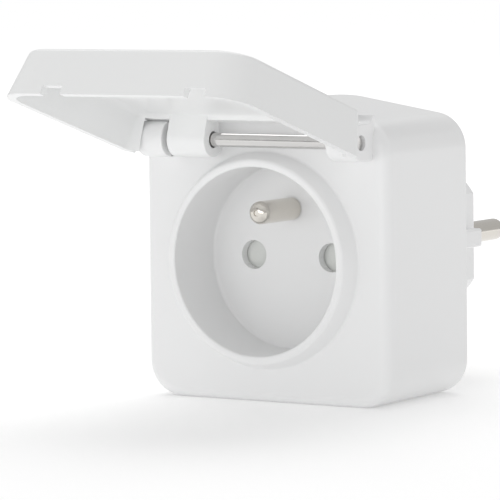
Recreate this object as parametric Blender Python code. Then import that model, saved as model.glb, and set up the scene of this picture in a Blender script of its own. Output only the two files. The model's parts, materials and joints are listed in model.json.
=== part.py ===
"""Outdoor smart plug with a flip-up lid on a steel hinge rod, modelled as separate pieces.

Metres, +Z up. The front, with the socket, faces -Y, and the plug pins point along +Y. The origin
is the middle of the flat underside. The lid is modelled level and turned to its half-raised rest.
"""

import math

import bmesh
import bpy
from mathutils import Matrix, Vector

MM = 0.001

# Housing
BODY_WIDTH = 59.4 * MM
BODY_DEPTH = 33.4 * MM
EAVES_HEIGHT = 58.25 * MM
RIDGE_RISE = 4.95 * MM
CORNER_RADIUS = 7.4 * MM
RIDGE_RADIUS = 30 * MM
FRONT_FILLET = 2.5 * MM
REAR_FILLET = 1.0 * MM
WALL = 2.0 * MM

# Socket
SOCKET_HEIGHT = 29.7 * MM
COLLAR_HEIGHT = 4.2 * MM
COLLAR_LIP_RADIUS = 21.2 * MM
COLLAR_BASE_RADIUS = 22.6 * MM
RECESS_RADIUS = 19.6 * MM
RECESS_DEPTH = 15.2 * MM
CUP_WALL = 1.8 * MM
PIN_SPACING = 19.0 * MM
PIN_RADIUS = 2.4 * MM
PIN_HOLE_RADIUS = 3.0 * MM
EARTH_OFFSET = 10.0 * MM
EARTH_PIN_LENGTH = 14.0 * MM

# Rear stage and plug insert
STAGE_BASE_RADIUS = 25.5 * MM
STAGE_TOP_RADIUS = 20.0 * MM
STAGE_DEPTH = 14.2 * MM
INSERT_RADIUS = 17.2 * MM
INSERT_FLAT = 14.4 * MM
INSERT_DEPTH = 17.0 * MM
KEY_HEIGHT = 4.0 * MM
KEY_REACH = 3.6 * MM
KEY_SETBACK = 3.2 * MM
INSERT_WALL = 1.5 * MM
PLUG_RISE = 0.8 * MM
PLUG_PIN_LENGTH = 19.0 * MM
COVER_THICKNESS = 2.5 * MM
COVER_RECESS = 0.4 * MM

# Hinge
HINGE_RISE = 25.1 * MM
HINGE_REACH = 4.45 * MM
ROD_RADIUS = 1.45 * MM
EAR_RADIUS = 3.8 * MM
EAR_OUTER = 26.2 * MM
EAR_WIDTH = 6.35 * MM
KNUCKLE_RADIUS = 3.7 * MM
KNUCKLE_LEFT = -18.6 * MM
KNUCKLE_WIDTH = 9.3 * MM
ROD_INSET = 0.6 * MM

# Lid, in its own frame: forward of the hinge axis and above it
LID_TILT = math.radians(17)
LID_TOP = 6.2 * MM
LID_RIM = -3.85 * MM
LID_TOP_HALF_WIDTH = 26.4 * MM
LID_RIM_HALF_WIDTH = 28.4 * MM
LID_TOP_START = 2.5 * MM
LID_RIM_START = 3.8 * MM
LID_TOP_END = 49.0 * MM
LID_RIM_END = 52.0 * MM
LID_CORNER_RADIUS = 7.5 * MM
LID_HINGE_CORNER = 1.2 * MM
LID_WALL = 1.7 * MM
LID_EDGE_FILLET = 0.8 * MM
LID_LEFT_NOTCH = -14.4 * MM
LID_RIGHT_NOTCH = 19.2 * MM
LID_NOTCH_WIDTH = 4.8 * MM
LID_NOTCH_DEPTH = 1.8 * MM

# Fastenings and seal
SCREW_INSET = 6.8 * MM
SCREW_RADIUS = 1.4 * MM
SCREW_HEAD_RADIUS = 2.5 * MM
SCREW_HEAD_HEIGHT = 1.6 * MM
SCREW_LENGTH = 11.0 * MM
BOSS_RADIUS = 2.9 * MM
SEAL_RADIUS = 0.5 * MM

# Inside
BOARD_THICKNESS = 1.6 * MM
SHUTTER_THICKNESS = 1.4 * MM
SHUTTER_TRAVEL = 5.8 * MM
CARRIER_HALF_WIDTH = 17.0 * MM
CARRIER_TOP = 7.0 * MM
CARRIER_BOTTOM = 20.5 * MM
CARRIER_DEPTH = 10.7 * MM
CONTACT_RADIUS = 3.3 * MM
CONTACT_WALL = 0.75 * MM
SPRING_RADIUS = 1.8 * MM
SPRING_WIRE_RADIUS = 0.25 * MM
SPRING_TURNS = 5
RELAY_SIZE = (18 * MM, 14 * MM, 15 * MM)
BUTTON_RADIUS = 5.0 * MM
BUTTON_PROUD = 0.3 * MM
BUTTON_DEPTH = 3.0 * MM
LIGHT_PIPE_RADIUS = 1.4 * MM
STRIP_THICKNESS = 0.8 * MM

# Clearances
GAP = 0.3 * MM
SLIDE_GAP = 0.15 * MM
OVERLAP = 0.5 * MM

# Places worked out from the sizes above
FRONT_Y = -BODY_DEPTH / 2
REAR_Y = BODY_DEPTH / 2
HALF_WIDTH = BODY_WIDTH / 2
FLOOR_Y = FRONT_Y - COLLAR_HEIGHT + RECESS_DEPTH
CUP_BACK_Y = FLOOR_Y + WALL
COVER_BACK_Y = REAR_Y - COVER_RECESS
COVER_FRONT_Y = COVER_BACK_Y - COVER_THICKNESS
STAGE_BACK_Y = COVER_BACK_Y + STAGE_DEPTH
INSERT_FACE_Y = STAGE_BACK_Y + INSERT_DEPTH
HINGE_Y = FRONT_Y - HINGE_REACH
HINGE_Z = SOCKET_HEIGHT + HINGE_RISE
EARTH_Z = SOCKET_HEIGHT + EARTH_OFFSET
PLUG_Z = SOCKET_HEIGHT + PLUG_RISE
PLUG_EARTH_Z = PLUG_Z + EARTH_OFFSET
PIN_X = PIN_SPACING / 2
SHUTTER_Y = CUP_BACK_Y + GAP
CARRIER_FRONT_Y = SHUTTER_Y + SHUTTER_THICKNESS + GAP
CARRIER_BACK_Y = CARRIER_FRONT_Y + CARRIER_DEPTH
BOARD_FRONT_Y = CARRIER_BACK_Y + 2.4 * MM
BOARD_BACK_Y = BOARD_FRONT_Y + BOARD_THICKNESS
SCREW_X = HALF_WIDTH - SCREW_INSET
SCREW_LOW_Z = SCREW_INSET
SCREW_HIGH_Z = EAVES_HEIGHT - SCREW_INSET + 0.8 * MM


def clear_scene():
    for obj in list(bpy.data.objects):
        bpy.data.objects.remove(obj)


def make_collection(name):
    collection = bpy.data.collections.new(name)
    bpy.context.scene.collection.children.link(collection)
    return collection


clear_scene()
PARTS = make_collection("outdoor_smart_plug")
CUTTERS = make_collection("cutters")


def make_material(name, colour, roughness, metallic=0.0):
    material = bpy.data.materials.new(name)
    material.use_nodes = True
    shader = material.node_tree.nodes["Principled BSDF"]
    shader.inputs["Base Color"].default_value = (*colour, 1)
    shader.inputs["Roughness"].default_value = roughness
    shader.inputs["Metallic"].default_value = metallic
    return material


WHITE_PLASTIC = make_material("white_plastic", (0.84, 0.85, 0.85), 0.35)
GREY_PLASTIC = make_material("grey_plastic", (0.42, 0.43, 0.43), 0.5)
BLACK_PLASTIC = make_material("black_plastic", (0.03, 0.03, 0.035), 0.45)
RUBBER = make_material("grey_rubber", (0.2, 0.2, 0.21), 0.85)
STEEL = make_material("polished_steel", (0.62, 0.62, 0.62), 0.12, 1)
NICKEL = make_material("nickel_plate", (0.68, 0.65, 0.6), 0.18, 1)
BRASS = make_material("brass", (0.72, 0.53, 0.25), 0.3, 1)
ZINC = make_material("zinc_plate", (0.6, 0.61, 0.63), 0.35, 1)
BOARD = make_material("circuit_board", (0.03, 0.2, 0.09), 0.5)
CLEAR = make_material("clear_plastic", (0.8, 0.82, 0.82), 0.2)
BLUE = make_material("blue_coating", (0.05, 0.12, 0.42), 0.4)
TIN = make_material("tin_plate", (0.7, 0.71, 0.72), 0.25, 1)


def add_object(name, bm, material=None):
    """A node in the parts collection, or a cutter where no material is given."""
    mesh = bpy.data.meshes.new(name)
    bmesh.ops.triangulate(bm, faces=bm.faces)
    bmesh.ops.recalc_face_normals(bm, faces=bm.faces)
    bm.to_mesh(mesh)
    bm.free()
    obj = bpy.data.objects.new(name, mesh)
    if material is None:
        CUTTERS.objects.link(obj)
        obj.hide_render = True
        obj.display_type = "WIRE"
    else:
        PARTS.objects.link(obj)
        mesh.materials.append(material)
        mesh.shade_smooth()
        mesh.set_sharp_from_angle(angle=math.radians(35))
    return obj


def combine(obj, tool, operation):
    modifier = obj.modifiers.new(tool.name, "BOOLEAN")
    modifier.operation = operation
    modifier.object = tool


def cut(obj, *tools):
    for tool in tools:
        combine(obj, tool, "DIFFERENCE")


def join(obj, *tools):
    for tool in tools:
        combine(obj, tool, "UNION")


def box(name, low, high, material=None, bevel=0.0):
    bm = bmesh.new()
    size = Vector(high) - Vector(low)
    centre = (Vector(high) + Vector(low)) / 2
    bmesh.ops.create_cube(bm, size=1, matrix=Matrix.Translation(centre) @ Matrix.Diagonal((*size, 1)))
    if bevel:
        bmesh.ops.bevel(bm, geom=bm.edges[:], offset=bevel, segments=2, profile=0.5, affect="EDGES")
    return add_object(name, bm, material)


def rod(name, start, end, radius, material=None, end_radius=None, segments=24, bevel=0.0):
    """A round bar or cone between two points, with its rims rounded where a bevel is given."""
    bm = bmesh.new()
    axis = Vector(end) - Vector(start)
    turn = Vector((0, 0, 1)).rotation_difference(axis).to_matrix().to_4x4()
    place = Matrix.Translation((Vector(start) + Vector(end)) / 2) @ turn
    last = radius if end_radius is None else end_radius
    bmesh.ops.create_cone(bm, cap_ends=True, segments=segments, radius1=radius, radius2=last,
                          depth=axis.length, matrix=place)
    if bevel:
        rims = [e for e in bm.edges if any(len(f.verts) > 4 for f in e.link_faces)]
        bmesh.ops.bevel(bm, geom=rims, offset=bevel, segments=2, profile=0.5, affect="EDGES")
    return add_object(name, bm, material)


def arc(centre, radius, start, end, steps):
    """Points on an arc, with its angles in degrees."""
    angles = [math.radians(start + (end - start) * i / steps) for i in range(steps + 1)]
    return [(centre[0] + radius * math.cos(a), centre[1] + radius * math.sin(a)) for a in angles]


def rounded(corners, radii, steps=6):
    """A closed outline with each corner replaced by a tangent arc of its own radius."""
    points = []
    for i, (corner, radius) in enumerate(zip(corners, radii)):
        here = Vector(corner)
        back = (Vector(corners[i - 1]) - here).normalized()
        ahead = (Vector(corners[(i + 1) % len(corners)]) - here).normalized()
        half = back.angle(ahead) / 2
        centre = here + (back + ahead).normalized() * radius / math.sin(half)
        first = here + back * radius / math.tan(half) - centre
        sweep = math.pi - 2 * half
        if back.x * ahead.y - back.y * ahead.x > 0:
            sweep = -sweep
        for step in range(steps + 1):
            turned = Matrix.Rotation(sweep * step / steps, 2) @ first
            points.append(tuple(centre + turned))
    return points


def prism_mesh(points, low, high, axis):
    """A bmesh prism of a flat outline, stretched from low to high along one axis.

    The outline is in (y, z) for axis X, in (x, z) for axis Y and in (x, y) for axis Z.
    """
    place = {
        "X": lambda p, h: (h, p[0], p[1]),
        "Y": lambda p, h: (p[0], h, p[1]),
        "Z": lambda p, h: (p[0], p[1], h),
    }[axis]
    bm = bmesh.new()
    face = bm.faces.new([bm.verts.new(place(p, low)) for p in points])
    extruded = bmesh.ops.extrude_face_region(bm, geom=[face])
    moved = [v for v in extruded["geom"] if isinstance(v, bmesh.types.BMVert)]
    bmesh.ops.translate(bm, verts=moved, vec=place((0, 0), high - low))
    return bm


def prism(name, points, low, high, axis, material=None):
    return add_object(name, prism_mesh(points, low, high, axis), material)


def strip_outline(path, thickness):
    """The outline of a strip of even thickness bent along a path, with mitred bends."""
    points = [Vector(p) for p in path]
    sides = []
    for i, here in enumerate(points):
        into = (here - points[i - 1]).normalized() if i else (points[1] - here).normalized()
        out = (points[i + 1] - here).normalized() if i < len(points) - 1 else into
        normal = Vector((-(into + out).y, (into + out).x)).normalized()
        sides.append(normal * thickness / 2 / normal.dot(Vector((-into.y, into.x))))
    left = [tuple(p + s) for p, s in zip(points, sides)]
    right = [tuple(p - s) for p, s in zip(points, sides)]
    return left + right[::-1]


def housing_outline(inset=0.0):
    """The front outline: a rounded square under a shallow rain-shedding ridge."""
    slope = math.atan2(RIDGE_RISE, HALF_WIDTH)
    side = HALF_WIDTH - inset
    eaves = EAVES_HEIGHT + inset * math.tan(slope) - inset / math.cos(slope)
    ridge = EAVES_HEIGHT + RIDGE_RISE - inset / math.cos(slope)
    corners = [(-side, inset), (side, inset), (side, eaves), (0, ridge), (-side, eaves)]
    corner = CORNER_RADIUS - inset
    return rounded(corners, [corner, corner, corner, RIDGE_RADIUS, corner])


def socket_point(x, y, z):
    """A place given from the middle of the socket."""
    return (x, y, SOCKET_HEIGHT + z)


def make_ear(name, inner, outer):
    """A hinge post: a block off the front face with a round nose about the hinge axis."""
    nose = arc((HINGE_Y, HINGE_Z), EAR_RADIUS, 90, 270, 16)
    back = FRONT_Y + 0.6 * WALL
    outline = nose + [(back, HINGE_Z - EAR_RADIUS), (back, HINGE_Z + EAR_RADIUS)]
    return prism(name, outline, inner, outer, "X")


def make_front_housing():
    bm = prism_mesh(housing_outline(), FRONT_Y, REAR_Y, "Y")
    for y, width, segments in ((FRONT_Y, FRONT_FILLET, 4), (REAR_Y, REAR_FILLET, 2)):
        rim = [e for e in bm.edges if all(abs(v.co.y - y) < 1e-6 for v in e.verts)]
        bmesh.ops.bevel(bm, geom=rim, offset=width, segments=segments, profile=0.5, affect="EDGES")
    housing = add_object("front_housing", bm, WHITE_PLASTIC)
    cut(housing, prism("housing_cavity", housing_outline(WALL), FRONT_Y + WALL, REAR_Y + OVERLAP, "Y"))

    centre = SOCKET_HEIGHT
    join(housing, rod("collar", (0, FRONT_Y + OVERLAP, centre), (0, FRONT_Y - COLLAR_HEIGHT, centre),
                      COLLAR_BASE_RADIUS, end_radius=COLLAR_LIP_RADIUS, segments=64))
    join(housing, rod("cup", (0, FRONT_Y + WALL / 2, centre), (0, CUP_BACK_Y, centre),
                      RECESS_RADIUS + CUP_WALL, segments=64))
    cut(housing, rod("recess", (0, FRONT_Y - COLLAR_HEIGHT - OVERLAP, centre), (0, FLOOR_Y, centre),
                     RECESS_RADIUS, segments=64))

    for side in (-1, 1):
        ends = sorted((side * EAR_OUTER, side * (EAR_OUTER - EAR_WIDTH)))
        join(housing, make_ear(f"ear_{side}", *ends))
        hole = socket_point(side * PIN_X, FLOOR_Y - OVERLAP, 0)
        cut(housing, rod(f"pin_hole_{side}", hole, (hole[0], CUP_BACK_Y + OVERLAP, hole[2]),
                         PIN_HOLE_RADIUS))
    cut(housing, rod("earth_stem_hole", (0, FLOOR_Y - OVERLAP, EARTH_Z),
                     (0, CUP_BACK_Y + OVERLAP, EARTH_Z), EARTH_STEM_RADIUS + SLIDE_GAP))
    cut(housing, rod("rod_hole", (-HALF_WIDTH, HINGE_Y, HINGE_Z), (HALF_WIDTH, HINGE_Y, HINGE_Z),
                     ROD_RADIUS + SLIDE_GAP))

    for x, z, number in screw_places():
        end = COVER_FRONT_Y - GAP
        join(housing, rod(f"boss_{number}", (x, FRONT_Y + 0.7 * WALL, z), (x, end, z), BOSS_RADIUS,
                          segments=20))
        cut(housing, rod(f"pilot_{number}", (x, end - SCREW_LENGTH, z), (x, end + OVERLAP, z),
                         SCREW_RADIUS + SLIDE_GAP, segments=20))

    cut(housing, rod("button_hole", (-HALF_WIDTH - OVERLAP, BUTTON_Y, SOCKET_HEIGHT),
                     (-HALF_WIDTH + WALL + OVERLAP, BUTTON_Y, SOCKET_HEIGHT), BUTTON_RADIUS + GAP))
    cut(housing, rod("light_pipe_hole", (-HALF_WIDTH - OVERLAP, BUTTON_Y, LED_Z),
                     (-HALF_WIDTH + WALL + OVERLAP, BUTTON_Y, LED_Z), LIGHT_PIPE_RADIUS + SLIDE_GAP,
                     segments=20))


def screw_places():
    """The four housing screws as (x, z, number)."""
    corners = [(-SCREW_X, SCREW_LOW_Z), (SCREW_X, SCREW_LOW_Z), (-SCREW_X, SCREW_HIGH_Z),
               (SCREW_X, SCREW_HIGH_Z)]
    return [(x, z, number) for number, (x, z) in enumerate(corners, 1)]


def insert_outline(inset=0.0):
    """The plug insert seen from behind: a disc with a flat on each side."""
    radius = INSERT_RADIUS - inset
    angle = math.degrees(math.acos((INSERT_FLAT - inset) / radius))
    upper = arc((0, PLUG_Z), radius, angle, 180 - angle, 24)
    lower = arc((0, PLUG_Z), radius, 180 + angle, 360 - angle, 24)
    return upper + lower


def make_rear_cover():
    cover = prism("rear_cover", housing_outline(WALL + GAP), COVER_FRONT_Y, COVER_BACK_Y, "Y",
                  WHITE_PLASTIC)
    centre = PLUG_Z
    start = COVER_BACK_Y - OVERLAP
    join(cover, rod("stage", (0, start, centre), (0, STAGE_BACK_Y, centre), STAGE_BASE_RADIUS,
                    end_radius=STAGE_TOP_RADIUS, segments=64))
    join(cover, prism("insert", insert_outline(), STAGE_BACK_Y - OVERLAP, INSERT_FACE_Y, "Y"))
    for side in (-1, 1):
        inner, outer = sorted((side * (INSERT_FLAT - OVERLAP), side * (INSERT_FLAT + KEY_REACH)))
        join(cover, box(f"key_{side}", (inner, STAGE_BACK_Y - OVERLAP, centre - KEY_HEIGHT / 2),
                        (outer, INSERT_FACE_Y - KEY_SETBACK, centre + KEY_HEIGHT / 2)))
    cut(cover, rod("stage_hollow", (0, COVER_FRONT_Y - OVERLAP, centre), (0, STAGE_BACK_Y - WALL, centre),
                   STAGE_BASE_RADIUS - WALL, end_radius=STAGE_TOP_RADIUS - WALL, segments=64))
    cut(cover, prism("insert_hollow", insert_outline(INSERT_WALL), STAGE_BACK_Y - WALL - OVERLAP,
                     INSERT_FACE_Y - WALL, "Y"))

    face = INSERT_FACE_Y - WALL - OVERLAP
    for side in (-1, 1):
        cut(cover, rod(f"plug_pin_hole_{side}", (side * PIN_X, face, centre),
                       (side * PIN_X, INSERT_FACE_Y + OVERLAP, centre), PIN_RADIUS + SLIDE_GAP))
        outside = side * (INSERT_RADIUS + OVERLAP)
        low, high = sorted((outside, side * (INSERT_RADIUS - CLIP_GROOVE)))
        cut(cover, box(f"clip_groove_{side}", (-CLIP_WIDTH / 2 - GAP, CLIP_START_Y - GAP, centre + low),
                       (CLIP_WIDTH / 2 + GAP, CLIP_END_Y + GAP, centre + high)))
        low, high = sorted((outside, side * (INSERT_RADIUS - WALL - OVERLAP)))
        cut(cover, box(f"clip_slot_{side}", (-CLIP_WIDTH / 2 - GAP, CLIP_START_Y - GAP, centre + low),
                       (CLIP_WIDTH / 2 + GAP, CLIP_START_Y + STRIP_THICKNESS + GAP, centre + high)))
    cut(cover, rod("earth_hole", (0, face, PLUG_EARTH_Z), (0, INSERT_FACE_Y + OVERLAP, PLUG_EARTH_Z),
                   EARTH_HOLE_RADIUS))

    for x, z, number in screw_places():
        cut(cover, rod(f"cover_hole_{number}", (x, COVER_FRONT_Y - OVERLAP, z),
                       (x, COVER_BACK_Y + OVERLAP, z), SCREW_RADIUS + GAP, segments=20))
        cut(cover, rod(f"counterbore_{number}", (x, COVER_BACK_Y - SCREW_HEAD_HEIGHT, z),
                       (x, COVER_BACK_Y + OVERLAP, z), SCREW_HEAD_RADIUS + GAP, segments=24))


def make_screw(name, x, z, head_y, direction, length, head_radius, shaft_radius, head_height):
    """A pan-head screw with a cross recess; its shaft runs along direction * Y from the head."""
    tip = head_y + direction * length
    top = head_y - direction * head_height
    screw = rod(name, (x, top, z), (x, head_y, z), head_radius, ZINC, segments=16)
    join(screw, rod(f"{name}_shaft", (x, head_y - direction * head_height / 2, z), (x, tip, z),
                    shaft_radius, segments=12))
    blade = head_radius * 0.62
    low_y, high_y = sorted((top - direction * OVERLAP, top + direction * head_height * 0.5))
    cut(screw, box(f"{name}_slot_a", (x - blade, low_y, z - 0.3 * MM), (x + blade, high_y, z + 0.3 * MM)))
    cut(screw, box(f"{name}_slot_b", (x - 0.3 * MM, low_y, z - blade), (x + 0.3 * MM, high_y, z + blade)))


def make_fastenings():
    for x, z, number in screw_places():
        make_screw(f"housing_screw_{number}", x, z, COVER_BACK_Y - SCREW_HEAD_HEIGHT + GAP, -1,
                   SCREW_LENGTH, SCREW_HEAD_RADIUS, SCREW_RADIUS, SCREW_HEAD_HEIGHT - GAP - 0.1 * MM)
    for side, number in ((-1, 1), (1, 2)):
        x, _, z = socket_point(side * POST_X, 0, -POST_DROP)
        make_screw(f"board_screw_{number}", x, z, BOARD_BACK_Y + GAP, -1, BOARD_SCREW_LENGTH,
                   BOARD_SCREW_HEAD_RADIUS, BOARD_SCREW_RADIUS, BOARD_SCREW_HEAD_HEIGHT)


def make_housing_seal():
    """A rubber cord laid round the edge of the cover, just in front of it, outside the bosses."""
    curve = bpy.data.curves.new("housing_seal", "CURVE")
    curve.dimensions = "3D"
    curve.bevel_depth = SEAL_RADIUS
    curve.bevel_resolution = 1
    spline = curve.splines.new("POLY")
    outline = housing_outline(WALL + GAP + SEAL_RADIUS)
    spline.points.add(len(outline) - 1)
    for point, (x, z) in zip(spline.points, outline):
        point.co = (x, COVER_FRONT_Y - GAP - SEAL_RADIUS, z, 1)
    spline.use_cyclic_u = True
    seal = bpy.data.objects.new("housing_seal", curve)
    curve.materials.append(RUBBER)
    PARTS.objects.link(seal)


# Earth path
EARTH_STEM_RADIUS = 1.8 * MM
EARTH_HOLE_RADIUS = 3.2 * MM
EARTH_TUBE_RADIUS = 3.7 * MM
CLIP_WIDTH = 6.0 * MM
CLIP_GROOVE = 1.2 * MM
CLIP_START_Y = STAGE_BACK_Y + 2.6 * MM
CLIP_END_Y = INSERT_FACE_Y - 1.6 * MM
CLIP_REACH = 4.6 * MM
STRAP_HALF_WIDTH = 2.6 * MM
STRAP_END_Y = CLIP_START_Y + STRIP_THICKNESS + GAP + STRIP_THICKNESS / 2


def make_earth_pin():
    tip = FLOOR_Y - EARTH_PIN_LENGTH
    pin = rod("earth_pin", (0, tip, EARTH_Z), (0, FLOOR_Y - SLIDE_GAP, EARTH_Z), PIN_RADIUS, NICKEL,
              bevel=1.0 * MM)
    join(pin, rod("earth_stem", (0, FLOOR_Y - 2 * MM, EARTH_Z), (0, CARRIER_FRONT_Y, EARTH_Z),
                  EARTH_STEM_RADIUS))


def make_plug_pins():
    for side, name in ((-1, "left_plug_pin"), (1, "right_plug_pin")):
        x = side * PIN_X
        z = PLUG_Z
        inner = INSERT_FACE_Y - WALL - GAP
        pin = rod(name, (x, inner - 1.5 * MM, z), (x, INSERT_FACE_Y + PLUG_PIN_LENGTH, z), PIN_RADIUS,
                  NICKEL, bevel=1.1 * MM)
        join(pin, rod(f"{name}_flange", (x, inner - 2.5 * MM, z), (x, inner, z), 3.0 * MM))
        join(pin, rod(f"{name}_tail", (x, PIN_TAIL_Y, z), (x, inner - 2 * MM, z), 1.6 * MM, segments=20))


PIN_TAIL_Y = INSERT_FACE_Y - 11.5 * MM


def make_earth_clips():
    """Side earth springs: a strip in a groove of the insert, with a leg through the wall."""
    for side, name in ((1, "upper_earth_clip"), (-1, "lower_earth_clip")):
        outer = INSERT_RADIUS - CLIP_GROOVE + GAP + STRIP_THICKNESS / 2
        leg_y = CLIP_START_Y + STRIP_THICKNESS / 2
        path = [(leg_y, outer - CLIP_REACH), (leg_y, outer), (CLIP_END_Y - 3 * MM, outer + 0.4 * MM),
                (CLIP_END_Y, outer)]
        outline = [(y, PLUG_Z + side * z) for y, z in strip_outline(path, STRIP_THICKNESS)]
        prism(name, outline, -CLIP_WIDTH / 2, CLIP_WIDTH / 2, "X", NICKEL)


def make_earth_strap():
    start = CARRIER_FRONT_Y + GAP
    half = STRIP_THICKNESS / 2
    strap = box("earth_strap", (-STRAP_HALF_WIDTH, start, EARTH_Z - half),
                (STRAP_HALF_WIDTH, STRAP_END_Y, EARTH_Z + half), BRASS)
    reach = INSERT_RADIUS - CLIP_GROOVE - CLIP_REACH + 2.4 * MM
    join(strap, box("strap_cross", (-STRAP_HALF_WIDTH, STRAP_END_Y - half, PLUG_Z - reach),
                    (STRAP_HALF_WIDTH, STRAP_END_Y + half, PLUG_Z + reach)))

    begin = STRAP_END_Y + half + GAP
    outer = arc((0, PLUG_EARTH_Z), EARTH_TUBE_RADIUS, 110, 430, 24)
    inner = arc((0, PLUG_EARTH_Z), EARTH_TUBE_RADIUS - CONTACT_WALL, 430, 110, 24)
    prism("earth_receptacle", outer + inner, begin, INSERT_FACE_Y - WALL - GAP, "Y", BRASS)


def make_socket_contacts():
    """Split sleeves that grip an inserted pin, each with a tail towards the power board."""
    front = CARRIER_FRONT_Y + 0.8 * MM
    back = CARRIER_BACK_Y - 1.2 * MM
    for side, name in ((-1, "live_socket_contact"), (1, "neutral_socket_contact")):
        centre = (side * PIN_X, SOCKET_HEIGHT)
        outer = arc(centre, CONTACT_RADIUS, 105, 435, 24)
        inner = arc(centre, CONTACT_RADIUS - CONTACT_WALL, 435, 105, 24)
        contact = prism(name, outer + inner, front, back, "Y", BRASS)
        low = SOCKET_HEIGHT - CONTACT_RADIUS
        join(contact, box(f"{name}_tail", (centre[0] - 1.5 * MM, back - 3 * MM, low),
                          (centre[0] + 1.5 * MM, BOARD_FRONT_Y - GAP, low + CONTACT_WALL)))


POST_X = 13.0 * MM
POST_DROP = 14.0 * MM
POST_RADIUS = 2.6 * MM
BOARD_SCREW_RADIUS = 1.1 * MM
BOARD_SCREW_HEAD_RADIUS = 2.2 * MM
BOARD_SCREW_HEAD_HEIGHT = 1.3 * MM
BOARD_SCREW_LENGTH = 7.0 * MM
POCKET_HALF = CONTACT_RADIUS + GAP
SPRING_TOP_DROP = 9.6 * MM
SPRING_BOTTOM_DROP = 18.6 * MM
SHUTTER_TAB_TOP = -7.3 * MM
SPRING_Y = CARRIER_FRONT_Y + SPRING_RADIUS + SPRING_WIRE_RADIUS - 0.9 * MM


def make_contact_carrier():
    front = CARRIER_FRONT_Y
    carrier = box("contact_carrier", socket_point(-CARRIER_HALF_WIDTH, front, -CARRIER_BOTTOM),
                  socket_point(CARRIER_HALF_WIDTH, CARRIER_BACK_Y, CARRIER_TOP), GREY_PLASTIC, 0.6 * MM)
    for side in (-1, 1):
        inner, outer = sorted((side * (BLADE_OUTER + GAP), side * CARRIER_HALF_WIDTH))
        join(carrier, box(f"shutter_rail_{side}", socket_point(inner, SHUTTER_Y, -CARRIER_BOTTOM + 2 * MM),
                          socket_point(outer, front + OVERLAP, CARRIER_TOP - 2 * MM)))
        x = side * PIN_X
        cut(carrier, box(f"contact_pocket_{side}", socket_point(x - POCKET_HALF, front - OVERLAP, -POCKET_HALF),
                         socket_point(x + POCKET_HALF, CARRIER_BACK_Y + OVERLAP, POCKET_HALF)))
        post_x = side * POST_X
        join(carrier, rod(f"board_post_{side}", socket_point(post_x, CARRIER_BACK_Y - OVERLAP, -POST_DROP),
                          socket_point(post_x, BOARD_FRONT_Y - GAP, -POST_DROP), POST_RADIUS, segments=20))
        cut(carrier, rod(f"board_pilot_{side}",
                         socket_point(post_x, BOARD_BACK_Y - BOARD_SCREW_LENGTH - GAP, -POST_DROP),
                         socket_point(post_x, BOARD_FRONT_Y, -POST_DROP),
                         BOARD_SCREW_RADIUS + SLIDE_GAP, segments=16))
    reach = SPRING_RADIUS + SPRING_WIRE_RADIUS + GAP
    cut(carrier, box("spring_pocket", socket_point(-reach, front - OVERLAP, -SPRING_BOTTOM_DROP - GAP),
                     socket_point(reach, SPRING_Y + reach, SHUTTER_TAB_TOP + GAP)))


BLADE_HALF_WIDTH = 3.7 * MM
BLADE_HALF_HEIGHT = 3.1 * MM
BLADE_OUTER = PIN_X + BLADE_HALF_WIDTH
SHUTTER_BAR_DROP = 8.2 * MM


def make_shutter():
    """Two blades on one bar, which cover the pin holes until both pins push them down."""
    y0 = SHUTTER_Y
    y1 = SHUTTER_Y + SHUTTER_THICKNESS
    outline = rounded(
        [(-BLADE_OUTER, -SHUTTER_BAR_DROP), (BLADE_OUTER, -SHUTTER_BAR_DROP),
         (BLADE_OUTER, BLADE_HALF_HEIGHT), (PIN_X - BLADE_HALF_WIDTH, BLADE_HALF_HEIGHT),
         (PIN_X - BLADE_HALF_WIDTH, -BLADE_HALF_HEIGHT - 1 * MM),
         (-PIN_X + BLADE_HALF_WIDTH, -BLADE_HALF_HEIGHT - 1 * MM),
         (-PIN_X + BLADE_HALF_WIDTH, BLADE_HALF_HEIGHT), (-BLADE_OUTER, BLADE_HALF_HEIGHT)],
        [0.5 * MM] * 8, 2)
    outline = [(x, SOCKET_HEIGHT + z) for x, z in outline]
    slide = prism("shutter_slide", outline, y0, y1, "Y", GREY_PLASTIC)
    tab = SPRING_RADIUS + SPRING_WIRE_RADIUS
    join(slide, box("shutter_tab", socket_point(-tab, y0 + 0.2 * MM, 1.2 * MM - SPRING_TOP_DROP - GAP),
                    socket_point(tab, SPRING_Y + tab, SHUTTER_TAB_TOP)))

    curve = bpy.data.curves.new("shutter_spring", "CURVE")
    curve.dimensions = "3D"
    curve.bevel_depth = SPRING_WIRE_RADIUS
    curve.bevel_resolution = 1
    curve.use_fill_caps = True
    spline = curve.splines.new("POLY")
    steps = SPRING_TURNS * 12
    top = SOCKET_HEIGHT - SPRING_TOP_DROP - SPRING_WIRE_RADIUS - GAP
    bottom = SOCKET_HEIGHT - SPRING_BOTTOM_DROP + SPRING_WIRE_RADIUS + GAP
    spline.points.add(steps)
    for i, point in enumerate(spline.points):
        angle = 2 * math.pi * i / 12
        height = top + (bottom - top) * i / steps
        point.co = (SPRING_RADIUS * math.cos(angle), SPRING_Y + SPRING_RADIUS * math.sin(angle), height, 1)
    spring = bpy.data.objects.new("shutter_spring", curve)
    curve.materials.append(STEEL)
    PARTS.objects.link(spring)


CONTROL_BOARD_X = -21.0 * MM
CONTROL_BACK_X = CONTROL_BOARD_X - BOARD_THICKNESS
CONTROL_FRONT_Y = CUP_BACK_Y + 1.2 * MM
CONTROL_REAR_Y = BOARD_FRONT_Y - 0.4 * MM
BUTTON_Y = (CONTROL_FRONT_Y + CONTROL_REAR_Y) / 2
LED_Z = SOCKET_HEIGHT + 9.5 * MM
POWER_BOARD_LEFT = -25.0 * MM
POWER_BOARD_RIGHT = 25.5 * MM
POWER_BOARD_LOW = 10.5 * MM
POWER_BOARD_HIGH = 48.6 * MM


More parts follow.
